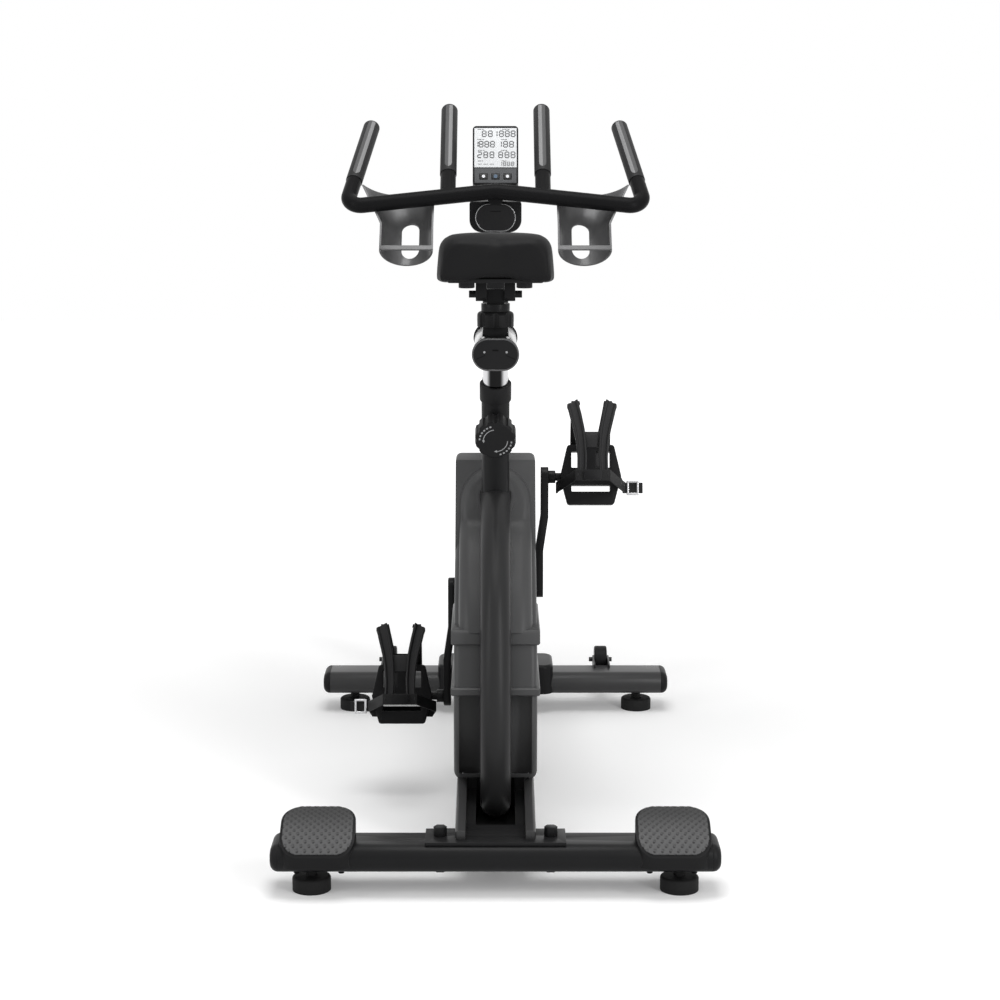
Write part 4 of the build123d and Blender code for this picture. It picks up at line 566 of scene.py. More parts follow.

# %% Rear base
# The columns run up to the shroud and take a paler paint as a painted highlight, and a dark apron closes
# the inner side of each.
rear_base = pieces["rear_base"]
tube_low, tube_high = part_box("rear_stabilizer")
plate_thick = 4.0 * MM
plate_top = tube_high.z + plate_thick
column_inner = 40.0 * MM
column_foot = plate_top + 2.0 * MM
second_finish(
    rear_base, highlight_tube_paint,
    lambda face: abs(face.center.x) > column_inner + 1.0 * MM and face.center.z > column_foot,
)
toe = (tube_low.y + tube_high.y) / 2 + 30.0 * MM
apron_thick = 2.0 * MM
apron_sunk = 2.0 * MM
apron_inner = 27.0 * MM
apron_line = [(toe, plate_top - apron_sunk), (-0.301, 0.083), (-0.297, 0.139)]
apron_outline = apron_line + [(y + apron_thick, z) for y, z in reversed(apron_line)]
count = len(apron_outline)
near = [(0, 1, 4, 5), (1, 2, 3, 4)]
apron_faces = near + [tuple(count + index for index in reversed(face)) for face in near]
for index in range(count):
    after = (index + 1) % count
    apron_faces.append((index, count + index, count + after, after))
for hand, edges in (("left", (-column_inner, -apron_inner)), ("right", (apron_inner, column_inner))):
    corners = [(x, y, z) for x in edges for y, z in apron_outline]
    apron = mesh_piece(hand + "_base_apron", corners, apron_faces, finishes["frame_paint"])
    face_outward(apron.data)
    ride_with(apron, "rear_base")
column_head = 97.0 * MM
head_height = 10.0 * MM
column_front = -0.29
column_lift = 7.0 * MM
for vertex in rear_base.data.vertices:
    at_column = abs(vertex.co.x) > column_inner + 0.5 * MM and vertex.co.y < column_front
    if at_column and column_head < vertex.co.z < column_head + head_height:
        vertex.co.z += column_lift

# %% Black caps on the chrome slider
slider_low, slider_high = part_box("handlebar_slider")
cap_thick = 10.0 * MM
second_finish(
    pieces["handlebar_slider"], finishes["black_plastic"],
    lambda face: not slider_low.y + cap_thick < face.center.y < slider_high.y - cap_thick,
)

# %% Pieces that keep their solids
for node, shape in nodes.items():
    if node not in edge_widths:
        dress(shape.data, finishes.get(slot_of_node[node], finishes["black_plastic"]))
nodes["seat_post"].data.materials[0] = post_chrome
nodes["crank_axle"].data.materials[0] = finishes["frame_paint"]

# %% [markdown]
# ## The padded saddle
# Foam under a stretched cover swells between its seams, and a drawn solid can't show that. A copy of the
# saddle is rebuilt as an even skin of small faces, its top is eased down towards the nose, and a short
# cloth simulation blows it up a little from inside while its underside is held. The swelling is limited,
# so the saddle keeps its fitted size.

# %% Saddle skin
saddle_low, saddle_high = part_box("saddle_pad")
saddle_length = saddle_high.y - saddle_low.y
saddle_mesh = nodes["saddle_pad"].data.copy()
saddle = new_piece("padded_saddle", saddle_mesh, finishes["black_plastic"])
skin = saddle.modifiers.new("even_skin", "REMESH")
skin.mode = "VOXEL"
skin.voxel_size = 5.0 * MM
settle(saddle)
top_drop = ((0.0, 0.0), (0.12, 0.0), (0.25, 2.4), (0.45, 3.0), (0.65, 0.6), (0.92, -2.6), (1.0, -2.0))


def along_table(table, share):
    """The values at a share of a length, on straight lines between the rows of a table."""
    for (low, *first), (high, *second) in zip(table, table[1:]):
        if share <= high:
            return [a + (b - a) * max(0.0, share - low) / (high - low) for a, b in zip(first, second)]
    return table[-1][1:]


saddle_height = saddle_high.z - saddle_low.z
crown_start = 0.35
skirt_drop = 6.5
skirt_height = 14.0 * MM
skirt_inner, skirt_ease = 0.015, 0.03
nose_start, nose_ease = 0.5, 0.15
for vertex in saddle.data.vertices:
    share = (vertex.co.y - saddle_low.y) / saddle_length
    upper = max(0.0, (vertex.co.z - saddle_low.z) / saddle_height - crown_start) / (1.0 - crown_start)
    vertex.co.z -= along_table(top_drop, share)[0] * MM * min(1.0, upper)
    lower = max(0.0, 1.0 - (vertex.co.z - saddle_low.z) / skirt_height)
    sideways = (abs(vertex.co.x) - skirt_inner) / skirt_ease
    outer = clamped(max(sideways, (share - nose_start) / nose_ease))
    vertex.co.z -= skirt_drop * MM * lower * outer * outer * (3.0 - 2.0 * outer)
print("saddle skin faces:", len(saddle.data.polygons))

# %% Saddle swelling
held_height = 7.0 * MM
swell_frames = 20
swell_limit = 6.0 * MM
side_limit = 1.5 * MM
held = saddle.vertex_groups.new(name="held")
underside = [v.index for v in saddle.data.vertices if v.co.z < saddle_low.z + held_height]
held.add(underside, 1.0, "REPLACE")
start_shape = [v.co.copy() for v in saddle.data.vertices]
swell = saddle.modifiers.new("swelling", "CLOTH")
swell.settings.quality = 6
swell.settings.mass = 0.25
swell.settings.tension_stiffness = 25.0
swell.settings.compression_stiffness = 25.0
swell.settings.bending_stiffness = 4.0
swell.settings.use_pressure = True
swell.settings.uniform_pressure_force = 4.0
swell.settings.effector_weights.gravity = 0.0
swell.settings.vertex_group_mass = "held"
swell.point_cache.frame_start = 1
swell.point_cache.frame_end = swell_frames
for number in range(1, swell_frames + 1):
    bpy.context.scene.frame_set(number)
settle(saddle)
bpy.context.scene.frame_set(1)
most = 0.0
for vertex, before in zip(saddle.data.vertices, start_shape):
    step = vertex.co - before
    most = max(most, step.length)
    if step.length > swell_limit:
        vertex.co = before + step.normalized() * swell_limit
    vertex.co.z = max(saddle_low.z - skirt_drop * MM, vertex.co.z)
    vertex.co.x = max(saddle_low.x - side_limit, min(saddle_high.x + side_limit, vertex.co.x))
    vertex.co.y = max(saddle_low.y - side_limit, min(saddle_high.y + side_limit, vertex.co.y))
print("saddle swells by up to", round(most / MM, 2), "mm before the limit")
ease = saddle.modifiers.new("ease", "SMOOTH")
ease.factor = 0.5
ease.iterations = 4
finer = saddle.modifiers.new("finer", "SUBSURF")
finer.levels = 1
finer.render_levels = 1
settle(saddle)
saddle.data.shade_smooth()

# %% [markdown]
# ## The saddle's cover
# Synthetic leather has a fine pebble grain. A Voronoi texture gives the pebbles and a slow noise the
# creases, and soft patches change how much it shines.

# %% Saddle cover
cover, tree, shader, place = start_material("saddle_cover")
pebble = add_node(tree, "ShaderNodeTexVoronoi", feature="DISTANCE_TO_EDGE")
feed(pebble, Scale=520.0, Vector=place)
grained = place_group(tree, grain_group, place, Scale=90.0, Patch_Scale=14.0)
creases = math_node(tree, "MULTIPLY", grained["Height"], 0.6)
height = math_node(tree, "ADD", pebble.outputs["Distance"], creases)
dusty = place_group(tree, dust_group, place, Amount=0.02)
toned = blend_colour(tree, grained["Tone"], (0.0075, 0.0075, 0.0078), (0.010, 0.010, 0.0104))
feed(
    shader, Base_Color=blend_colour(tree, dusty["Mask"], toned, (0.2, 0.195, 0.19)),
    Specular_IOR_Level=0.05,
)
roughness_from(tree, shader, grained["Tone"], 0.44, 0.56)
set_bump(tree, shader, height, 0.25, 0.0005)
dress(saddle.data, cover)
stand_for(saddle, "saddle_pad")
print("saddle box", [round(part, 4) for part in saddle.dimensions])

# %% [markdown]
# ## The moulded hood
# The rear hood of the drive cover is blown into a mould, so its edges are generous and its face is slightly
# crowned. A sheet is laid over the solid hood: each row follows the hood's side view, and the distance to
# the arched outline rolls the edge inward like a quarter circle.

# %% Hood sheet
HOOD_HALF = 52.0
HOOD_LOW, HOOD_SPRING = 312.0, 467.0
HOOD_RADIUS = 290.0
hood_centre = (-45.0, 178.0)
hood_foot, hood_top = (-164.8, 442.1), (-125.0, 515.0)
stand_off, crown = 3.0, 4.0
roll_low, roll_high = 17.0, 11.0
roll_change, roll_ease = 430.0, 30.0
bend_reach, bend_depth = 12.0, 3.0
tip_short = 0.5
hood_rows, hood_columns = 90, 48


def hood_side(height):
    """How far back the hood's face lies at a height: a circle that runs into a slope."""
    over = min(HOOD_RADIUS - 1.0, height - hood_centre[1])
    circle = hood_centre[0] - (HOOD_RADIUS**2 - over**2) ** 0.5
    slope = (hood_top[0] - hood_foot[0]) / (hood_top[1] - hood_foot[1])
    line = hood_foot[0] + (height - hood_foot[1]) * slope
    blend = max(0.0, bend_reach - abs(circle - line)) / bend_reach
    return min(circle, line) - blend * blend * bend_depth


def hood_place(across, height):
    """A place on the hood's sheet, in metres."""
    rise = max(0.0, height - HOOD_SPRING)
    inside = max(0.0, HOOD_HALF - hypot(across, rise))
    roll = roll_low + (roll_high - roll_low) * clamped((height - roll_change) / roll_ease)
    short = max(0.0, roll - inside)
    rolled = roll - max(0.0, roll * roll - short * short) ** 0.5
    out = stand_off + crown * (1.0 - (across / HOOD_HALF) ** 2)
    return Vector((across, hood_side(height) - out + rolled, height)) * MM


def grid_faces(rows, columns):
    """The four-sided faces of a sheet whose corners run row by row."""
    wide = columns + 1
    starts = [row * wide + column for row in range(rows) for column in range(columns)]
    return [(start, start + 1, start + wide + 1, start + wide) for start in starts]


corners = []
hood_high = HOOD_SPRING + HOOD_HALF - tip_short
for row in range(hood_rows + 1):
    height = HOOD_LOW + (hood_high - HOOD_LOW) * sin(0.5 * pi * row / hood_rows)
    rise = max(0.0, height - HOOD_SPRING)
    half = (HOOD_HALF**2 - rise**2) ** 0.5
    for column in range(hood_columns + 1):
        corners.append(hood_place(half * sin(0.5 * pi * (2.0 * column / hood_columns - 1.0)), height))
hood = mesh_piece("moulded_hood", corners, grid_faces(hood_rows, hood_columns), finishes["shroud_plastic"])
hood.data.shade_smooth()
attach(hood, body_of_node["right_shroud"])
print("hood sheet faces:", len(hood.data.polygons))

# %% [markdown]
# ## Geometry Nodes for things that repeat
# A field of dimples is one small form set out many times, which is what Geometry Nodes is for. Three
# helpers make a group with named inputs, close it and run it: the inputs are set on the modifier by their
# identifiers, and the result becomes plain mesh.

# %% Geometry helpers
SOCKET_KINDS.update(
    {"object": "NodeSocketObject", "count": "NodeSocketInt", "material": "NodeSocketMaterial"}
)


def geometry_group(name, inputs):
    """An empty Geometry Nodes group with named inputs and one geometry output."""
    group = bpy.data.node_groups.new(name, "GeometryNodeTree")
    for label, kind, default in inputs:
        socket = group.interface.new_socket(label, in_out="INPUT", socket_type=SOCKET_KINDS[kind])
        if default is not None:
            socket.default_value = default
    group.interface.new_socket("Geometry", in_out="OUTPUT", socket_type="NodeSocketGeometry")
    entry = add_node(group, "NodeGroupInput")
    leave = add_node(group, "NodeGroupOutput")
    return group, entry.outputs, leave.inputs


def run_geometry(name, group, material, values):
    """Run a group on an empty mesh and keep the result as plain mesh."""
    piece = new_piece(name, bpy.data.meshes.new(name), material)
    modifier = piece.modifiers.new("nodes", "NODES")
    modifier.node_group = group
    for item in group.interface.items_tree:
        if item.in_out == "INPUT" and item.name in values:
            modifier[item.identifier] = values[item.name]
    return settle(piece)


def end_geometry(group, geometry, material, leave):
    """Close a group: real mesh first, then its material."""
    real = add_node(group, "GeometryNodeRealizeInstances")
    feed(real, Geometry=geometry)
    coloured = add_node(group, "GeometryNodeSetMaterial")
    feed(coloured, Geometry=real.outputs["Geometry"], Material=material)
    join(group, coloured.outputs["Geometry"], leave["Geometry"])


# %% [markdown]
# ## Dimpled tread on the stretch pads
# A fine sheet is laid over each pad: every point of a flat grid falls straight down onto the pad, and it
# stays a little above it. The dimples come from arithmetic on the point's place: the fraction of the
# pitch tells how far the nearest dimple is, and every second row is shifted by half a pitch.

# %% Tread group
tread_group, entry, leave = geometry_group(
    "dimpled_tread",
    [
        ("Pad", "object", None), ("Middle", "vector", None), ("Half Size", "vector", None),
        ("Across", "value", 0.0105), ("Along", "value", 0.0053), ("Dimple Radius", "value", 0.0024),
        ("Dimple Depth", "value", 0.0012), ("Raised", "value", 0.0014), ("Inset", "value", 0.003),
        ("Rear Corner", "value", 0.024), ("Front Corner", "value", 0.045), ("Points", "count", 150),
        ("Material", "material", None),
    ],
)
tread_node = partial(add_node, tread_group)
tread_join = partial(join, tread_group)
tread_math = partial(math_node, tread_group)
half_parts = tread_node("ShaderNodeSeparateXYZ")
tread_join(entry["Half Size"], half_parts.inputs[0])
sheet = tread_node("GeometryNodeMeshGrid")
feed(
    sheet, Size_X=tread_math("MULTIPLY", half_parts.outputs["X"], 2.0),
    Size_Y=tread_math("MULTIPLY", half_parts.outputs["Y"], 2.0), Vertices_X=entry["Points"],
    Vertices_Y=entry["Points"],
)
point_place = tread_node("GeometryNodeInputPosition").outputs[0]
point_parts = tread_node("ShaderNodeSeparateXYZ")
tread_join(point_place, point_parts.inputs[0])
along_rows = tread_math("DIVIDE", point_parts.outputs["Y"], entry["Along"])
odd_row = tread_math("FLOORED_MODULO", tread_math("FLOOR", along_rows), 2.0)
across_rows = tread_math("DIVIDE", point_parts.outputs["X"], entry["Across"])
shifted = tread_math("ADD", across_rows, tread_math("MULTIPLY", odd_row, 0.5))
off_x = tread_math("SUBTRACT", tread_math("FRACT", shifted), 0.5)
off_y = tread_math("SUBTRACT", tread_math("FRACT", along_rows), 0.5)
reach_x = tread_math("MULTIPLY", off_x, entry["Across"])
reach_y = tread_math("MULTIPLY", tread_math("MULTIPLY", off_y, entry["Along"]), 1.3)
square = tread_math("ADD", tread_math("POWER", reach_x, 2.0), tread_math("POWER", reach_y, 2.0))
from_middle = tread_math("SQRT", square)
dimple = tread_node("ShaderNodeMapRange", interpolation_type="SMOOTHSTEP")
feed(
    dimple, Value=from_middle, From_Min=entry["Dimple Radius"],
    From_Max=tread_math("MULTIPLY", entry["Dimple Radius"], 0.45),
)
moved = tread_node("ShaderNodeVectorMath", operation="ADD")
tread_join(point_place, moved.inputs[0])
tread_join(entry["Middle"], moved.inputs[1])
pad_shape = tread_node("GeometryNodeObjectInfo", transform_space="RELATIVE")
feed(pad_shape, Object=entry["Pad"])
fall = tread_node("GeometryNodeRaycast")
feed(
    fall, Target_Geometry=pad_shape.outputs["Geometry"], Source_Position=moved.outputs[0],
    Ray_Direction=(0.0, 0.0, -1.0), Ray_Length=0.2,
)
sunk = tread_math("MULTIPLY", dimple.outputs[0], entry["Dimple Depth"])
lifted = tread_node("ShaderNodeVectorMath", operation="SCALE")
tread_join(fall.outputs["Hit Normal"], lifted.inputs[0])
feed(lifted, Scale=tread_math("SUBTRACT", entry["Raised"], sunk))
landed = tread_node("ShaderNodeVectorMath", operation="ADD")
tread_join(fall.outputs["Hit Position"], landed.inputs[0])
tread_join(lifted.outputs[0], landed.inputs[1])

# %% Tread outline
ahead = tread_math("GREATER_THAN", point_parts.outputs["Y"], 0.0)
extra_corner = tread_math("SUBTRACT", entry["Front Corner"], entry["Rear Corner"])
corner = tread_math("ADD", entry["Rear Corner"], tread_math("MULTIPLY", ahead, extra_corner))
past_corner = []
for axis in ("X", "Y"):
    straight_part = tread_math("SUBTRACT", half_parts.outputs[axis], corner)
    size = tread_math("ABSOLUTE", point_parts.outputs[axis])
    past = tread_math("MAXIMUM", tread_math("SUBTRACT", size, straight_part), 0.0)
    past_corner.append(tread_math("POWER", past, 2.0))
corner_reach = tread_math("SQRT", tread_math("ADD", past_corner[0], past_corner[1]))
allowed = tread_math("SUBTRACT", corner, entry["Inset"])
outside = tread_math("GREATER_THAN", corner_reach, allowed)
missed = tread_math("SUBTRACT", 1.0, fall.outputs["Is Hit"])
gone = tread_math("MAXIMUM", outside, missed)
trim = tread_node("GeometryNodeDeleteGeometry", domain="POINT")
feed(trim, Geometry=sheet.outputs["Mesh"], Selection=gone)
lay = tread_node("GeometryNodeSetPosition")
feed(lay, Geometry=trim.outputs["Geometry"], Position=landed.outputs[0])
# The dimple mask is kept on the points, for the painted shade in the dimples.
kept = tread_node("GeometryNodeStoreNamedAttribute", data_type="FLOAT", domain="POINT")
feed(kept, Name="dimple", Geometry=lay.outputs["Geometry"], Value=dimple.outputs[0])
end_geometry(tread_group, kept.outputs["Geometry"], entry["Material"], leave)

# %% Treads
tread_rubber = finish(
    "tread_rubber", (0.050, 0.050, 0.051), 0.60, grain=900.0, bump=0.3, wear=0.1, dust=0.12, specular=0.35
)
# Painted shade: the tread darkens towards the front, where the pad's crest turns away from the light.
shade_start_y, shade_full_y = -0.510, -0.450
tree = tread_rubber.node_tree
shader = tree.nodes["Principled BSDF"]
# Painted shade: the dimples' hollows are coloured darker.
dimple_shade_mask = add_node(tree, "ShaderNodeAttribute", attribute_name="dimple").outputs["Fac"]
along = add_node(tree, "ShaderNodeSeparateXYZ")
join(tree, add_node(tree, "ShaderNodeTexCoord").outputs["Object"], along.inputs[0])
crest_shade_mask = add_node(tree, "ShaderNodeMapRange", interpolation_type="SMOOTHSTEP")
feed(crest_shade_mask, From_Min=shade_start_y, From_Max=shade_full_y, To_Max=0.75, Value=along.outputs["Y"])
rubbed_tread = shader.inputs["Base Color"].links[0].from_socket
crest_shaded_colour = blend_colour(tree, crest_shade_mask.outputs[0], rubbed_tread, (0.008, 0.008, 0.008))
dimple_painted_shade = blend_colour(tree, dimple_shade_mask, crest_shaded_colour, (0.006, 0.006, 0.006))
feed(shader, Base_Color=dimple_painted_shade)
pad_low, pad_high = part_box("stretch_pads")
pad_width = 0.100
tread_thick = 2.2 * MM
start_above = 0.02
for side in (-1, 1):
    middle_x = side * (pad_high.x - pad_width / 2)
    tread = run_geometry(
        ("left" if side < 0 else "right") + "_tread", tread_group, tread_rubber,
        {
            "Pad": nodes["stretch_pads"],
            "Middle": (middle_x, (pad_low.y + pad_high.y) / 2, pad_high.z + start_above),
            "Half Size": (pad_width / 2, (pad_high.y - pad_low.y) / 2, 0.0),
            "Material": tread_rubber,
        },
    )
    back = tread.modifiers.new("thickness", "SOLIDIFY")
    back.thickness = tread_thick
    back.offset = -1.0
    settle(tread)
    tread.data.shade_smooth()
    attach(tread, "frame")
    print(tread.name, "points:", len(tread.data.vertices))

# %% [markdown]
# ## The console's face
# The display shows mostly eights with every segment lit, as such a screen does before it is switched on,
# and a few ones and a two. A digit is seven bars on a small grid, so one list of bars serves every number,
# and the rows are only places on the face.
# The face leans back by 20 degrees, and one function turns face places into places in the room.

# %% Console frame
FACE_LEAN = radians(20.0)
face_middle = Vector((0.0, 0.300, 0.9635))
face_out = Vector((0.0, -cos(FACE_LEAN), sin(FACE_LEAN)))
face_up = Vector((0.0, sin(FACE_LEAN), cos(FACE_LEAN)))
screen_rise = 13.0


def face_level(out):
    """A function that turns millimetres across and up the face into a place, some way out of it."""
    return lambda across, up: face_middle + (RIGHT * across + face_up * up + face_out * out) * MM


def flat_piece(name, outlines, place, material):
    """Flat polygons, with a function that gives the place of every corner."""
    corners = []
    faces = []
    for outline in outlines:
        faces.append(tuple(range(len(corners), len(corners) + len(outline))))
        corners.extend(place(across, up) for across, up in outline)
    return mesh_piece(name, corners, faces, material)


def bar(across, up, width, height):
    """A bar with pointed ends along its longer side."""
    if width > height:
        tip = height / 2
        shape = [(-width / 2, 0), (-width / 2 + tip, -tip), (width / 2 - tip, -tip), (width / 2, 0)]
        shape += [(width / 2 - tip, tip), (-width / 2 + tip, tip)]
    else:
        tip = width / 2
        shape = [(0, -height / 2), (tip, -height / 2 + tip), (tip, height / 2 - tip), (0, height / 2)]
        shape += [(-tip, height / 2 - tip), (-tip, -height / 2 + tip)]
    return [(across + x, up + y) for x, y in shape]


def block(across, up, width, height):
    """A plain rectangle."""
    x, y = width / 2, height / 2
    return [(across - x, up - y), (across + x, up - y), (across + x, up + y), (across - x, up + y)]


# %% Digits
LIT = {"8": "abcdefg", "2": "abged", "1": "bc"}
BAR_GAP = 0.35


def digit(symbol, across, up, width, height, thick=1.7):
    """The bars of one digit, with a small gap at their ends."""
    half = height / 2
    bars = {
        "a": (0, half, width, thick), "g": (0, 0, width, thick), "d": (0, -half, width, thick),
        "b": (width / 2, half / 2, thick, half), "c": (width / 2, -half / 2, thick, half),
        "f": (-width / 2, half / 2, thick, half), "e": (-width / 2, -half / 2, thick, half),
    }
    shapes = []
    for part in LIT[symbol]:
        x, y, bar_width, bar_height = bars[part]
        long_width = bar_width - BAR_GAP if bar_width > bar_height else bar_width
        long_height = bar_height - BAR_GAP if bar_height > bar_width else bar_height
        shapes.append(bar(across + x, up + y, long_width, long_height))
    return shapes


rows = [
    (23.6, [("8", -18.4), ("8", -8.4), ("1", -0.6), ("8", 9.6), ("8", 19.2), ("8", 28.6)]),
    (5.8, [("1", -31.6), ("8", -23.4), ("8", -14.2), ("8", -5.0), ("1", 6.6), ("8", 16.4), ("8", 26.0)]),
    (-12.2, [("2", -25.8), ("8", -15.8), ("8", -5.8), ("8", 8.4), ("8", 18.6), ("8", 28.4)]),
]
digit_size, small_size = (6.2, 9.6), (4.2, 6.4)
small_start, small_pitch, small_up, small_thick = 8.0, 6.6, -27.6, 1.25
word_height = 1.1
display_bars = []
for up, symbols in rows:
    for symbol, across in symbols:
        display_bars += digit(symbol, across, up + screen_rise, *digit_size)
for step, symbol in enumerate("1888"):
    across = small_start + small_pitch * step
    display_bars += digit(symbol, across, screen_rise + small_up, *small_size, thick=small_thick)
for across, up, width in [
    (-24.0, 31.0, 11.0), (17.0, 31.0, 13.0), (-24.0, 13.8, 12.0), (14.0, 13.8, 10.0), (-23.0, -4.6, 12.0),
    (14.0, -4.6, 11.0), (-24.0, -22.6, 9.0), (14.0, -22.6, 9.0), (-25.0, -28.0, 6.0), (-16.0, -28.0, 8.0),
    (-6.0, -28.0, 7.0),
]:
    for share, part in ((-0.36, 0.2), (-0.06, 0.3), (0.32, 0.26)):
        display_bars.append(block(across + share * width, up + screen_rise, part * width, word_height))
ink = finish("display_ink", (0.035, 0.036, 0.038), 0.45, grain=500.0, bump=0.05, wear=0.0, dust=0.0)
digits = flat_piece("display_digits", display_bars, face_level(0.12), ink)
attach(digits, body_of_node["console_screen"])
print("display bars:", len(display_bars))

# %% [markdown]
# ## Screen, key strip and key marks
# The liquid crystal is a pale grey sheet under clear plastic: a little uneven, with a soft coat that
# mirrors the room. The keys sit in the openings of a grey strip, and each key has a small printed mark.

# %% Screen
screen_glass, tree, shader, place = start_material("screen_glass")
mottle = place_group(tree, grain_group, place, Scale=300.0, Patch_Scale=30.0)
pale = blend_colour(tree, mottle["Tone"], (0.52, 0.53, 0.54), (0.60, 0.61, 0.62))
feed(shader, Base_Color=pale)
roughness_from(tree, shader, mottle["Tone"], 0.20, 0.30)
feed(shader, Coat_Weight=0.3)
set_bump(tree, shader, mottle["Height"], 0.02, 0.0002)
dress(nodes["console_screen"].data, screen_glass)

# %% Key strip
across_breaks = [-34.0, -26.2, -12.8, -6.7, 6.7, 12.8, 26.2, 34.0]
up_breaks = [-46.5, -41.2, -30.8, -22.0]
cells = []
for column in range(len(across_breaks) - 1):
    for row in range(len(up_breaks) - 1):
        if row == 1 and column in (1, 3, 5):
            continue
        left, right = across_breaks[column], across_breaks[column + 1]
        low, high = up_breaks[row], up_breaks[row + 1]
        cells.append([(left, low), (right, low), (right, high), (left, high)])
strip_plastic = finish(
    "key_strip", (0.055, 0.057, 0.060), 0.48, grain=1500.0, bump=0.15, wear=0.1, dust=0.05, specular=0.3
)
strip = flat_piece("key_strip", cells, face_level(0.25), strip_plastic)
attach(strip, body_of_node["console_body"])

# %% Key marks
def print_ink(name, colour):
    """The ink of a printed mark: even, dry and clean."""
    return finish(name, colour, 0.5, grain=900.0, bump=0.05, wear=0.0, dust=0.0)


white_print = print_ink("white_print", (0.62, 0.63, 0.65))
blue_print = print_ink("blue_print", (0.05, 0.085, 0.13))


def disc(across, up, radius, sides=28):
    """A round outline."""
    return [
        (across + radius * cos(2 * pi * step / sides), up + radius * sin(2 * pi * step / sides))
        for step in range(sides)
    ]


key_up = -36.0
key_pitch = 19.5
key_face = 1.58
for key, across, radius, printed in [
    ("left_button", -key_pitch, 2.6, white_print), ("middle_button", 0.0, 3.2, blue_print),
    ("right_button", key_pitch, 2.6, white_print),
]:
    mark = flat_piece(key + "_mark", [disc(across, key_up, radius)], face_level(key_face), printed)
    ride_with(mark, key)
print("keys with marks: 3")

# %% [markdown]
# ## Printed marks and small hardware
# The seat knob shows which way to turn with two arcs and arrowheads. A mark is a flat shape on a plane, so
# one function takes a plane (a middle and an up direction) and lays the outlines on it.

# %% Marks on a plane
def laid_piece(name, outlines, middle, up, material, node):
    """Flat outlines in millimetres on a plane, riding with a node's body."""
    piece = flat_piece(
        name, outlines, lambda across, rise: middle + (RIGHT * across + up * rise) * MM, material
    )
    return ride_with(piece, node)


def arc_band(radius, width, start, end, steps=24):
    """Short four-sided pieces of a ring, from one angle to another."""
    painted_reflection_side = []
    for step in range(steps):
        low = radians(start + (end - start) * step / steps)
        high = radians(start + (end - start) * (step + 1) / steps)
        inner, outer = radius - width / 2, radius + width / 2
        painted_reflection_side.append(
            [
                (inner * cos(low), inner * sin(low)), (outer * cos(low), outer * sin(low)),
                (outer * cos(high), outer * sin(high)), (inner * cos(high), inner * sin(high)),
            ]
        )
    return painted_reflection_side


def arrow_head(radius, angle, turn, size):
    """A triangle at the end of an arc, pointing along it."""
    tip = radians(angle + turn * degrees(size / radius))
    foot = radians(angle)
    inner, outer = radius - size / 2, radius + size / 2
    return [
        (inner * cos(foot), inner * sin(foot)), (outer * cos(foot), outer * sin(foot)),
        (radius * cos(tip), radius * sin(tip)),
    ]


# %% Seat knob marks
TUBE_LEAN = radians(71.0)
SLIDER_Y, SLIDER_Z = -232.0, 708.0
seat_up = Vector((0.0, -cos(TUBE_LEAN), sin(TUBE_LEAN)))
seat_rear = Vector((0.0, -sin(TUBE_LEAN), -cos(TUBE_LEAN)))


def seat_place(height):
    """The seat tube's middle line at a height in millimetres."""
    return Vector((0.0, (SLIDER_Y + (SLIDER_Z - height) / tan(TUBE_LEAN)) * MM, height * MM))


grey_print = print_ink("grey_print", (0.20, 0.203, 0.206))
knob_height = 595.0
knob_start = seat_place(knob_height)
knob_points = [point.co for point in nodes["seat_knob"].data.vertices]
knob_reach = max((point - knob_start).dot(seat_rear) for point in knob_points)
mark_radius, line_width, head_size = 17.0, 1.1, 4.0
dash_radius, dash_width, dash_pitch, dash_length = 22.5, 2.2, 13.0, 7.0
knob_marks = arc_band(mark_radius, line_width, 97.0, 178.0)
knob_marks += arc_band(mark_radius, line_width, 277.0, 358.0)
knob_marks.append(arrow_head(mark_radius, 178.0, 1, head_size))
knob_marks.append(arrow_head(mark_radius, 277.0, -1, head_size))
for start in (105.0, 285.0):
    for step in range(6):
        low = start + dash_pitch * step
        knob_marks += arc_band(dash_radius, dash_width, low, low + dash_length, 2)
marks_above = 0.00015
marks_middle = knob_start + seat_rear * (knob_reach + marks_above)
laid_piece("seat_knob_marks", knob_marks, marks_middle, seat_up, grey_print, "seat_knob")
print("knob face reaches", round(knob_reach, 4), "m behind the tube's middle")

# %% [markdown]
# ## Toe cages with moulded ribs
# The toe basket keeps its solid, but its flat upper prongs are cut away and moulded ribs take their place:
# each rib has two raised rims with a groove between them, runs up from the strap bridge and bends outward
# to a slanted tip. A rib is one cross-section carried along a line, with its middle and its width given
# at a few shares of the length.

# %% Pedal frame
PEDAL_TILT = radians(75.0)
pedal_along = Vector((0.0, cos(PEDAL_TILT), sin(PEDAL_TILT)))
pedal_out = Vector((0.0, -sin(PEDAL_TILT), cos(PEDAL_TILT)))
pedal_middles = {"left": Vector((-143.0, -40.0, 150.0)), "right": Vector((143.0, -40.0, 490.0))}
bridge_along, bridge_out = -16.0, 79.0
tip_along, tip_out = 108.0, 56.0
rib_run = hypot(tip_along - bridge_along, tip_out - bridge_out)
rib_way = (pedal_along * (tip_along - bridge_along) + pedal_out * (tip_out - bridge_out)) / rib_run
rib_top = (pedal_along * (bridge_out - tip_out) + pedal_out * (tip_along - bridge_along)) / rib_run


def on_rib(hand, across, along, over):
    """A place on the plane of the ribs of one pedal, in millimetres."""
    start = pedal_middles[hand] + pedal_along * bridge_along + pedal_out * bridge_out
    return (start + RIGHT * across + rib_way * along + rib_top * over) * MM


BLOCK_FACES = [(0, 1, 3, 2), (4, 6, 7, 5), (0, 4, 5, 1), (2, 3, 7, 6), (0, 2, 6, 4), (1, 5, 7, 3)]


def box_piece(name, hand, across, along, over, material):
    """A block between two corners on the plane of the ribs."""
    corners = [on_rib(hand, x, y, z) for x in across for y in along for z in over]
    return mesh_piece(name, corners, BLOCK_FACES, material)


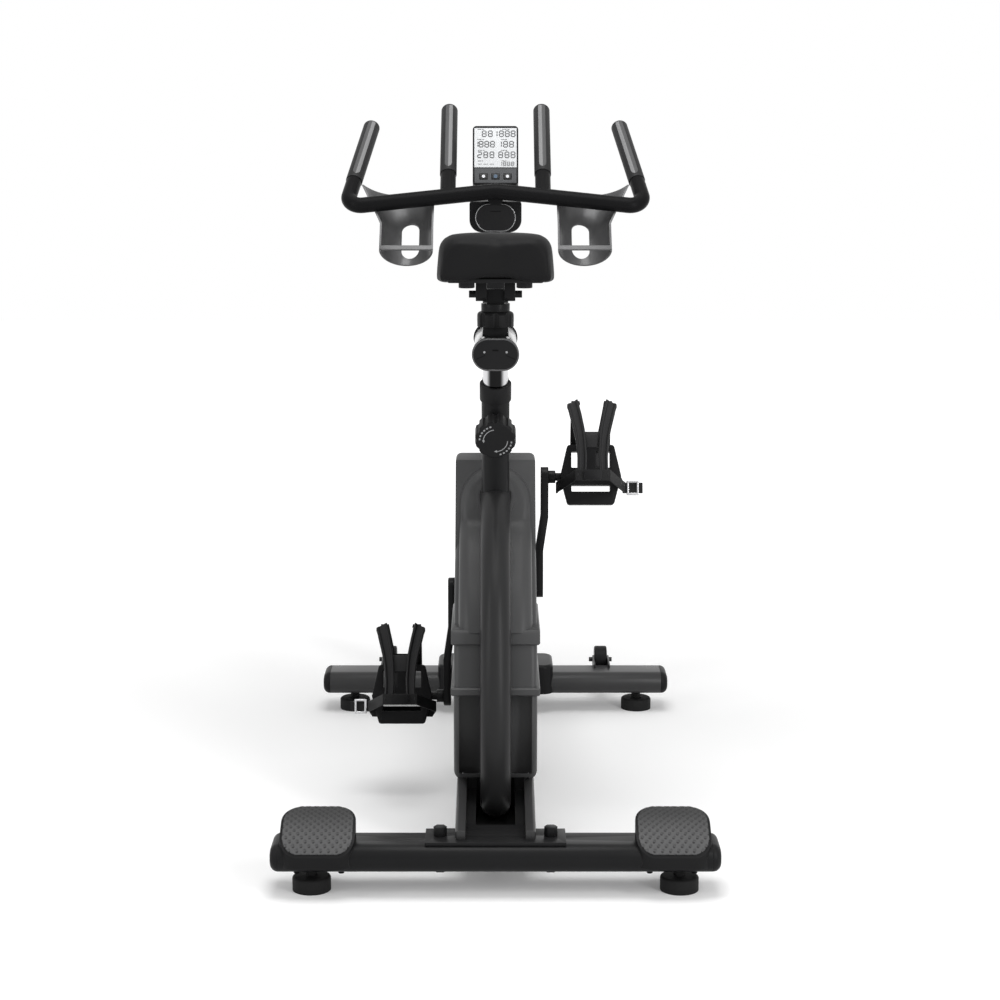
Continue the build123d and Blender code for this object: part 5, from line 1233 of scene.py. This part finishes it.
def wedge_piece(name, hand):
    """The tapering gap of the fork between the two tips, through the basket."""
    low, high, low_half, high_half = 93.0, 134.0, 12.5, 23.0
    plan = [(-low_half, low), (low_half, low), (high_half, high), (-high_half, high)]
    corners = [on_rib(hand, x, y, z) for z in (-70.0, 30.0) for x, y in plan]
    faces = [(3, 2, 1, 0), (4, 5, 6, 7), (0, 1, 5, 4), (1, 2, 6, 5), (2, 3, 7, 6), (3, 0, 4, 7)]
    return mesh_piece(name, corners, faces, finishes["black_plastic"])


def cut_away(piece, cutter):
    """Cut one closed piece out of another, and drop the cutter."""
    cut = piece.modifiers.new("cut", "BOOLEAN")
    cut.operation = "DIFFERENCE"
    cut.solver = "EXACT"
    cut.object = cutter
    settle(piece)
    bpy.data.objects.remove(cutter)


# %% Rib shape
rib_plan = [
    (0.0, 17.5, 13.0), (0.10, 16.0, 13.5), (0.25, 15.5, 14.0), (0.45, 17.0, 15.0), (0.60, 19.5, 17.0),
    (0.80, 24.6, 18.5), (0.93, 28.0, 18.0), (1.0, 29.0, 15.5),
]
rib_section = [
    (-0.5, -2.2), (-0.5, 2.2), (-0.44, 3.5), (-0.30, 3.5), (-0.22, 1.4),
    (0.22, 1.4), (0.30, 3.5), (0.44, 3.5), (0.5, 2.2), (0.5, -2.2),
]
rib_steps = 30
rib_low, rib_high = 9.0, 128.0
tip_slant = 8.0
tip_share = 0.15
rib_bow = 2.5


def rib_piece(hand, side):
    """One rib: its section at every step of its length, joined ring to ring."""
    corners = []
    for step in range(rib_steps + 1):
        share = step / rib_steps
        middle, width = along_table(rib_plan, share)
        along = rib_low + share * (rib_high - rib_low)
        for part, over in rib_section:
            slant = tip_slant * (part + 0.5) * max(0.0, share - (1.0 - tip_share)) / tip_share
            across = side * (middle + part * width)
            corners.append(on_rib(hand, across, along - slant, over + rib_bow * sin(pi * share)))
    count = len(rib_section)
    faces = [tuple(range(count)), tuple(range(len(corners) - count, len(corners)))]
    for step in range(rib_steps):
        for index in range(count):
            after = (index + 1) % count
            first, second = step * count, (step + 1) * count
            faces.append((first + index, first + after, second + after, second + index))
    rib = mesh_piece(hand + "_cage_rib", corners, faces, cage_plastic)
    face_outward(rib.data)
    return rib


# %% [markdown]
# ## Strap, bridge and heel
# The bridge is a small block, held a little above the rear window of the pedal, and the strap leans up to
# it. Under the pedal the strap isn't in the same place left and right, so it is cut at the pedal's two
# sides and its lower run is shifted along the pedal. All of this only moves corners of the copies.

# %% Strap bridge
bridge_lift = 10.8
bridge_depth_share = 0.62
bridge_width_share = 0.43
bridge_floor = 70.0
strap_bend = 4.0
under_pedal = -10.6
strap_side = 46.0
cut_slack = 0.01
under_shift = {"left": -8.0, "right": 10.8}
basket_width_share = 0.86
strap_width_share = 0.76
heel_start = -30.0
heel_cut = 5.0


def narrow_bridge(cage, hand):
    """Make the bridge small and high, and the basket a little narrower."""
    for vertex in cage.data.vertices:
        off = vertex.co / MM - pedal_middles[hand]
        along = off.dot(pedal_along)
        if off.dot(pedal_out) > bridge_floor and along < 0.0:
            step = bridge_lift + (bridge_depth_share - 1.0) * (along - bridge_along)
            vertex.co += pedal_along * (step * MM)
            vertex.co.x += (bridge_width_share - 1.0) * off.x * MM
        else:
            vertex.co.x += (basket_width_share - 1.0) * off.x * MM


def lean_strap(strap, hand):
    """Lean the strap up to its bridge, and shift the run under the pedal."""
    middle = pedal_middles[hand]
    work = bmesh.new()
    work.from_mesh(strap.data)
    for side in (-1.0, 1.0):
        parts = [*work.verts, *work.edges, *work.faces]
        cut_place = (middle.x + side * strap_side) * MM
        bmesh.ops.bisect_plane(work, geom=parts, plane_co=(cut_place, 0.0, 0.0), plane_no=(1.0, 0.0, 0.0))
    for vertex in work.verts:
        off = vertex.co / MM - middle
        out = off.dot(pedal_out)
        share = clamped((out - strap_bend) / (bridge_out - strap_bend))
        vertex.co += pedal_along * (bridge_lift * share * MM)
        vertex.co.x += (strap_width_share - 1.0) * share * off.x * MM
        if out < under_pedal and abs(off.x) < strap_side + cut_slack:
            vertex.co += pedal_along * (under_shift[hand] * MM)
    work.to_mesh(strap.data)
    work.free()


def shorten_heel(pedal, hand):
    """Draw the pedal's heel in."""
    for vertex in pedal.data.vertices:
        if (vertex.co / MM - pedal_middles[hand]).dot(pedal_along) < heel_start:
            vertex.co += pedal_along * (heel_cut * MM)


# %% Cages
cage_plastic = finish(
    "cage_plastic", (0.013, 0.013, 0.0134), 0.42, grain=1500.0, bump=0.2, wear=0.25, dust=0.04,
    specular=0.14,
)
prong_space = ((-45.0, 45.0), (13.0, 132.0), (-2.7, 9.0))
plate_space = ((-14.0, 14.0), (54.0, 78.0), (-2.6, 0.6))
block_x, block_along, block_out = (-12.5, 12.5), (12.0, 38.5), (-7.0, 5.0)
cage_rounding = 0.6
for hand, middle in pedal_middles.items():
    node = hand + "_toe_cage"
    cage = pieces[node]
    cut_away(cage, box_piece(hand + "_cutter", hand, *prong_space, cage_plastic))
    cut_away(cage, wedge_piece(hand + "_wedge", hand))
    smooth(cage)
    narrow_bridge(cage, hand)
    lean_strap(pieces[hand + "_toe_strap"], hand)
    shorten_heel(pieces[hand + "_pedal"], hand)
    plate = box_piece(hand + "_cage_plate", hand, *plate_space, cage_plastic)
    ribs = [rib_piece(hand, side) for side in (-1, 1)]
    block_corners = [
        (middle + RIGHT * x + pedal_along * y + pedal_out * z) * MM
        for x in block_x for y in block_along for z in block_out
    ]
    pedal_block = mesh_piece(hand + "_pedal_middle", block_corners, BLOCK_FACES, cage_plastic)
    for piece in [plate, pedal_block, *ribs]:
        ride_with(round_edges(piece, cage_rounding, segments=2, limit=30.0), node)
print("cage ribs: 4")

# %% Wire buckles
buckle_wire = brushed_metal("buckle_wire", (0.58, 0.58, 0.59), 0.2, (1.0, 1.0, 0.3))
buckle_inner, buckle_outer = 54.4, 73.6
tail_half, tail_low, tail_high = 8.05, -11.05, -5.95


def in_buckle(face, middle, outward):
    """Whether a face of a strap belongs to its wire buckle, and not to the strap's loose end."""
    off = face.center / MM - middle
    along = off.dot(pedal_along) - bridge_along
    in_tail = abs(along) < tail_half and tail_low < off.dot(pedal_out) < tail_high
    return buckle_inner < outward * off.x < buckle_outer and not in_tail


for hand, middle in pedal_middles.items():
    outward = -1.0 if hand == "left" else 1.0
    second_finish(pieces[hand + "_toe_strap"], buckle_wire, lambda face: in_buckle(face, middle, outward))

# %% [markdown]
# ## Grip flats and cap rims
# Each grip has a long flat towards the rider, painted paler as a highlight: a stripe with a rounded lower
# end, with a brighter painted highlight on its inner side. The plastic caps on the two slider tubes have a
# rim painted pale as a highlight, screws, and slots painted near-black as shade. The flat is a strip bent
# round the grip's own radius, and the rim is a thin wire carried round the oval.

# %% Grip flats
GRIP_RADIUS = 13.7
FLAT_HALF_ANGLE = radians(25.0)
strip_highlight_paint = finish(
    "grip_highlight_strip", (0.055, 0.055, 0.056), 0.42, grain=1100.0, bump=0.2, wear=0.0, dust=0.0, specular=0.25
)
edge_highlight_paint = finish(
    "grip_edge_highlight", (0.16, 0.16, 0.162), 0.42, grain=1100.0, bump=0.2, wear=0.0, dust=0.0, specular=0.3
)
toward_rider = Vector((0.0, -0.985, 0.171))
flat_rows, flat_columns = 40, 8
flat_start, flat_short = 6.0, 9.0
flat_used = 0.97
low_round, high_round = 10.0, 8.0
highlight_edge_start = 0.1


def grip_highlight_strip(name, corner, tip, length, past=10.0):
    """A strip along one grip, on the side that faces the rider, paler as a painted highlight."""
    corner, tip = Vector(corner), Vector(tip)
    heading = (tip - corner).normalized()
    outward = (toward_rider - heading * toward_rider.dot(heading)).normalized()
    sideways = heading.cross(outward)
    start = tip - heading * (length - past)
    strip_length = length - flat_short
    corners = []
    for row in range(flat_rows + 1):
        along = flat_start + strip_length * row / flat_rows * flat_used
        from_low, from_high = along - flat_start, strip_length - along + flat_start
        close = min(1.0, from_low / low_round, from_high / high_round)
        half = FLAT_HALF_ANGLE * max(0.05, 1.0 - (1.0 - close) ** 2) ** 0.5
        for column in range(flat_columns + 1):
            angle = half * (2.0 * column / flat_columns - 1.0)
            reach = outward * (GRIP_RADIUS * cos(angle)) + sideways * (GRIP_RADIUS * sin(angle))
            corners.append((start + heading * along + reach) * MM)
    piece = mesh_piece(name, corners, grid_faces(flat_rows, flat_columns), strip_highlight_paint)
    # The inner side of the strip takes a brighter painted highlight.
    piece.data.materials.append(edge_highlight_paint)
    inward = -1.0 if corner.x > 0.0 else 1.0
    for index, face in enumerate(piece.data.polygons):
        across = (2.0 * (index % flat_columns) + 1.0) / flat_columns - 1.0
        face.material_index = 1 if highlight_edge_start < across * inward * sideways.x / abs(sideways.x) else 0
    piece.data.shade_smooth()
    ride_with(piece, "hand_grips")


for side in (-1, 1):
    hand = "left" if side < 0 else "right"
    grip_highlight_strip(hand + "_outer_flat", (side * 239.0, 225.0, 883.0), (side * 206.0, 385.5, 1006.0), 150.0)
    grip_highlight_strip(hand + "_inner_flat", (side * 76.0, 225.0, 900.0), (side * 76.0, 382.5, 1033.0), 165.0)
print("grip flats: 4")

# %% Cap rims
# The rims are painted highlights: pale wires where the caps' rounded edges catch the light.
rim_highlight_metal = brushed_metal("rim_highlight_metal", (0.20, 0.20, 0.204), 0.2, (1.0, 1.0, 1.0))


def oval_wire(name, width, height, middle, wire, material, node):
    """A thin wire round a flat-sided oval that faces the rider."""
    radius = height / 2
    straight = width / 2 - radius
    outline = []
    for end in (1, -1):
        for step in range(25):
            angle = radians(-90.0 + 180.0 * step / 24.0) + (0.0 if end > 0 else pi)
            out_x, out_z = cos(angle), sin(angle)
            outline.append((end * straight + radius * out_x, radius * out_z, out_x, out_z))
    sides = 8
    corners = []
    for across, up, out_x, out_z in outline:
        for step in range(sides):
            turn = 2 * pi * step / sides
            reach, deep = wire * cos(turn), wire * sin(turn)
            place = (middle[0] + across + out_x * reach, middle[1] + deep, middle[2] + up + out_z * reach)
            corners.append(Vector(place) * MM)
    faces = []
    count = len(outline)
    for row in range(count):
        first, second = row * sides, (row + 1) % count * sides
        for column in range(sides):
            after = (column + 1) % sides
            faces.append((first + column, second + column, second + after, first + after))
    piece = mesh_piece(name, corners, faces, material)
    piece.data.shade_smooth()
    ride_with(piece, node)


# The seat cap's rim is a painted highlight in grey.
rim_highlight_grey = finish(
    "rim_highlight_grey", (0.045, 0.045, 0.046), 0.35, grain=1500.0, bump=0.1, wear=0.1, dust=0.0, specular=0.4
)
oval_wire("bar_cap_rim", 63.0, 43.0, (0.0, 230.6, 866.0), 0.9, rim_highlight_metal, "handlebar_slider")
oval_wire("seat_cap_rim", 61.6, 41.6, (0.0, -359.2, 708.0), 1.1, rim_highlight_grey, "seat_slider_caps")

# %% Cap screws and slots
seat_cap_face = Vector((0.0, -0.36015, 0.708))
bar_cap_face = Vector((0.0, 0.22885, 0.866))
# The slots and creases are painted shade: flat near-black shapes on the caps' faces.
slot_shade_black = finish(
    "slot_shade_black", (0.002, 0.002, 0.002), 0.7, grain=600.0, bump=0.1, wear=0.0, dust=0.0, specular=0.05
)
crease = [(-26.0, -5.6), (-14.0, -0.4), (-14.0, -1.0), (-26.0, -6.4)]
seat_cap_screws = [disc(-15.0, 3.5, 1.5), disc(15.0, 3.5, 1.5)]
seat_cap_lines = [block(0.0, 6.0, 8.0, 2.0), crease, [(-x, y) for x, y in reversed(crease)]]
bar_cap_line = [block(0.0, 10.0, 17.0, 1.2)]
laid_piece("seat_cap_screws", seat_cap_screws, seat_cap_face, UP, grey_print, "seat_slider_caps")
laid_piece("seat_cap_slot", seat_cap_lines, seat_cap_face, UP, slot_shade_black, "seat_slider_caps")
laid_piece("bar_cap_slot", bar_cap_line, bar_cap_face, UP, slot_shade_black, "handlebar_slider")
print("cap screws: 2, cap slots: 2")
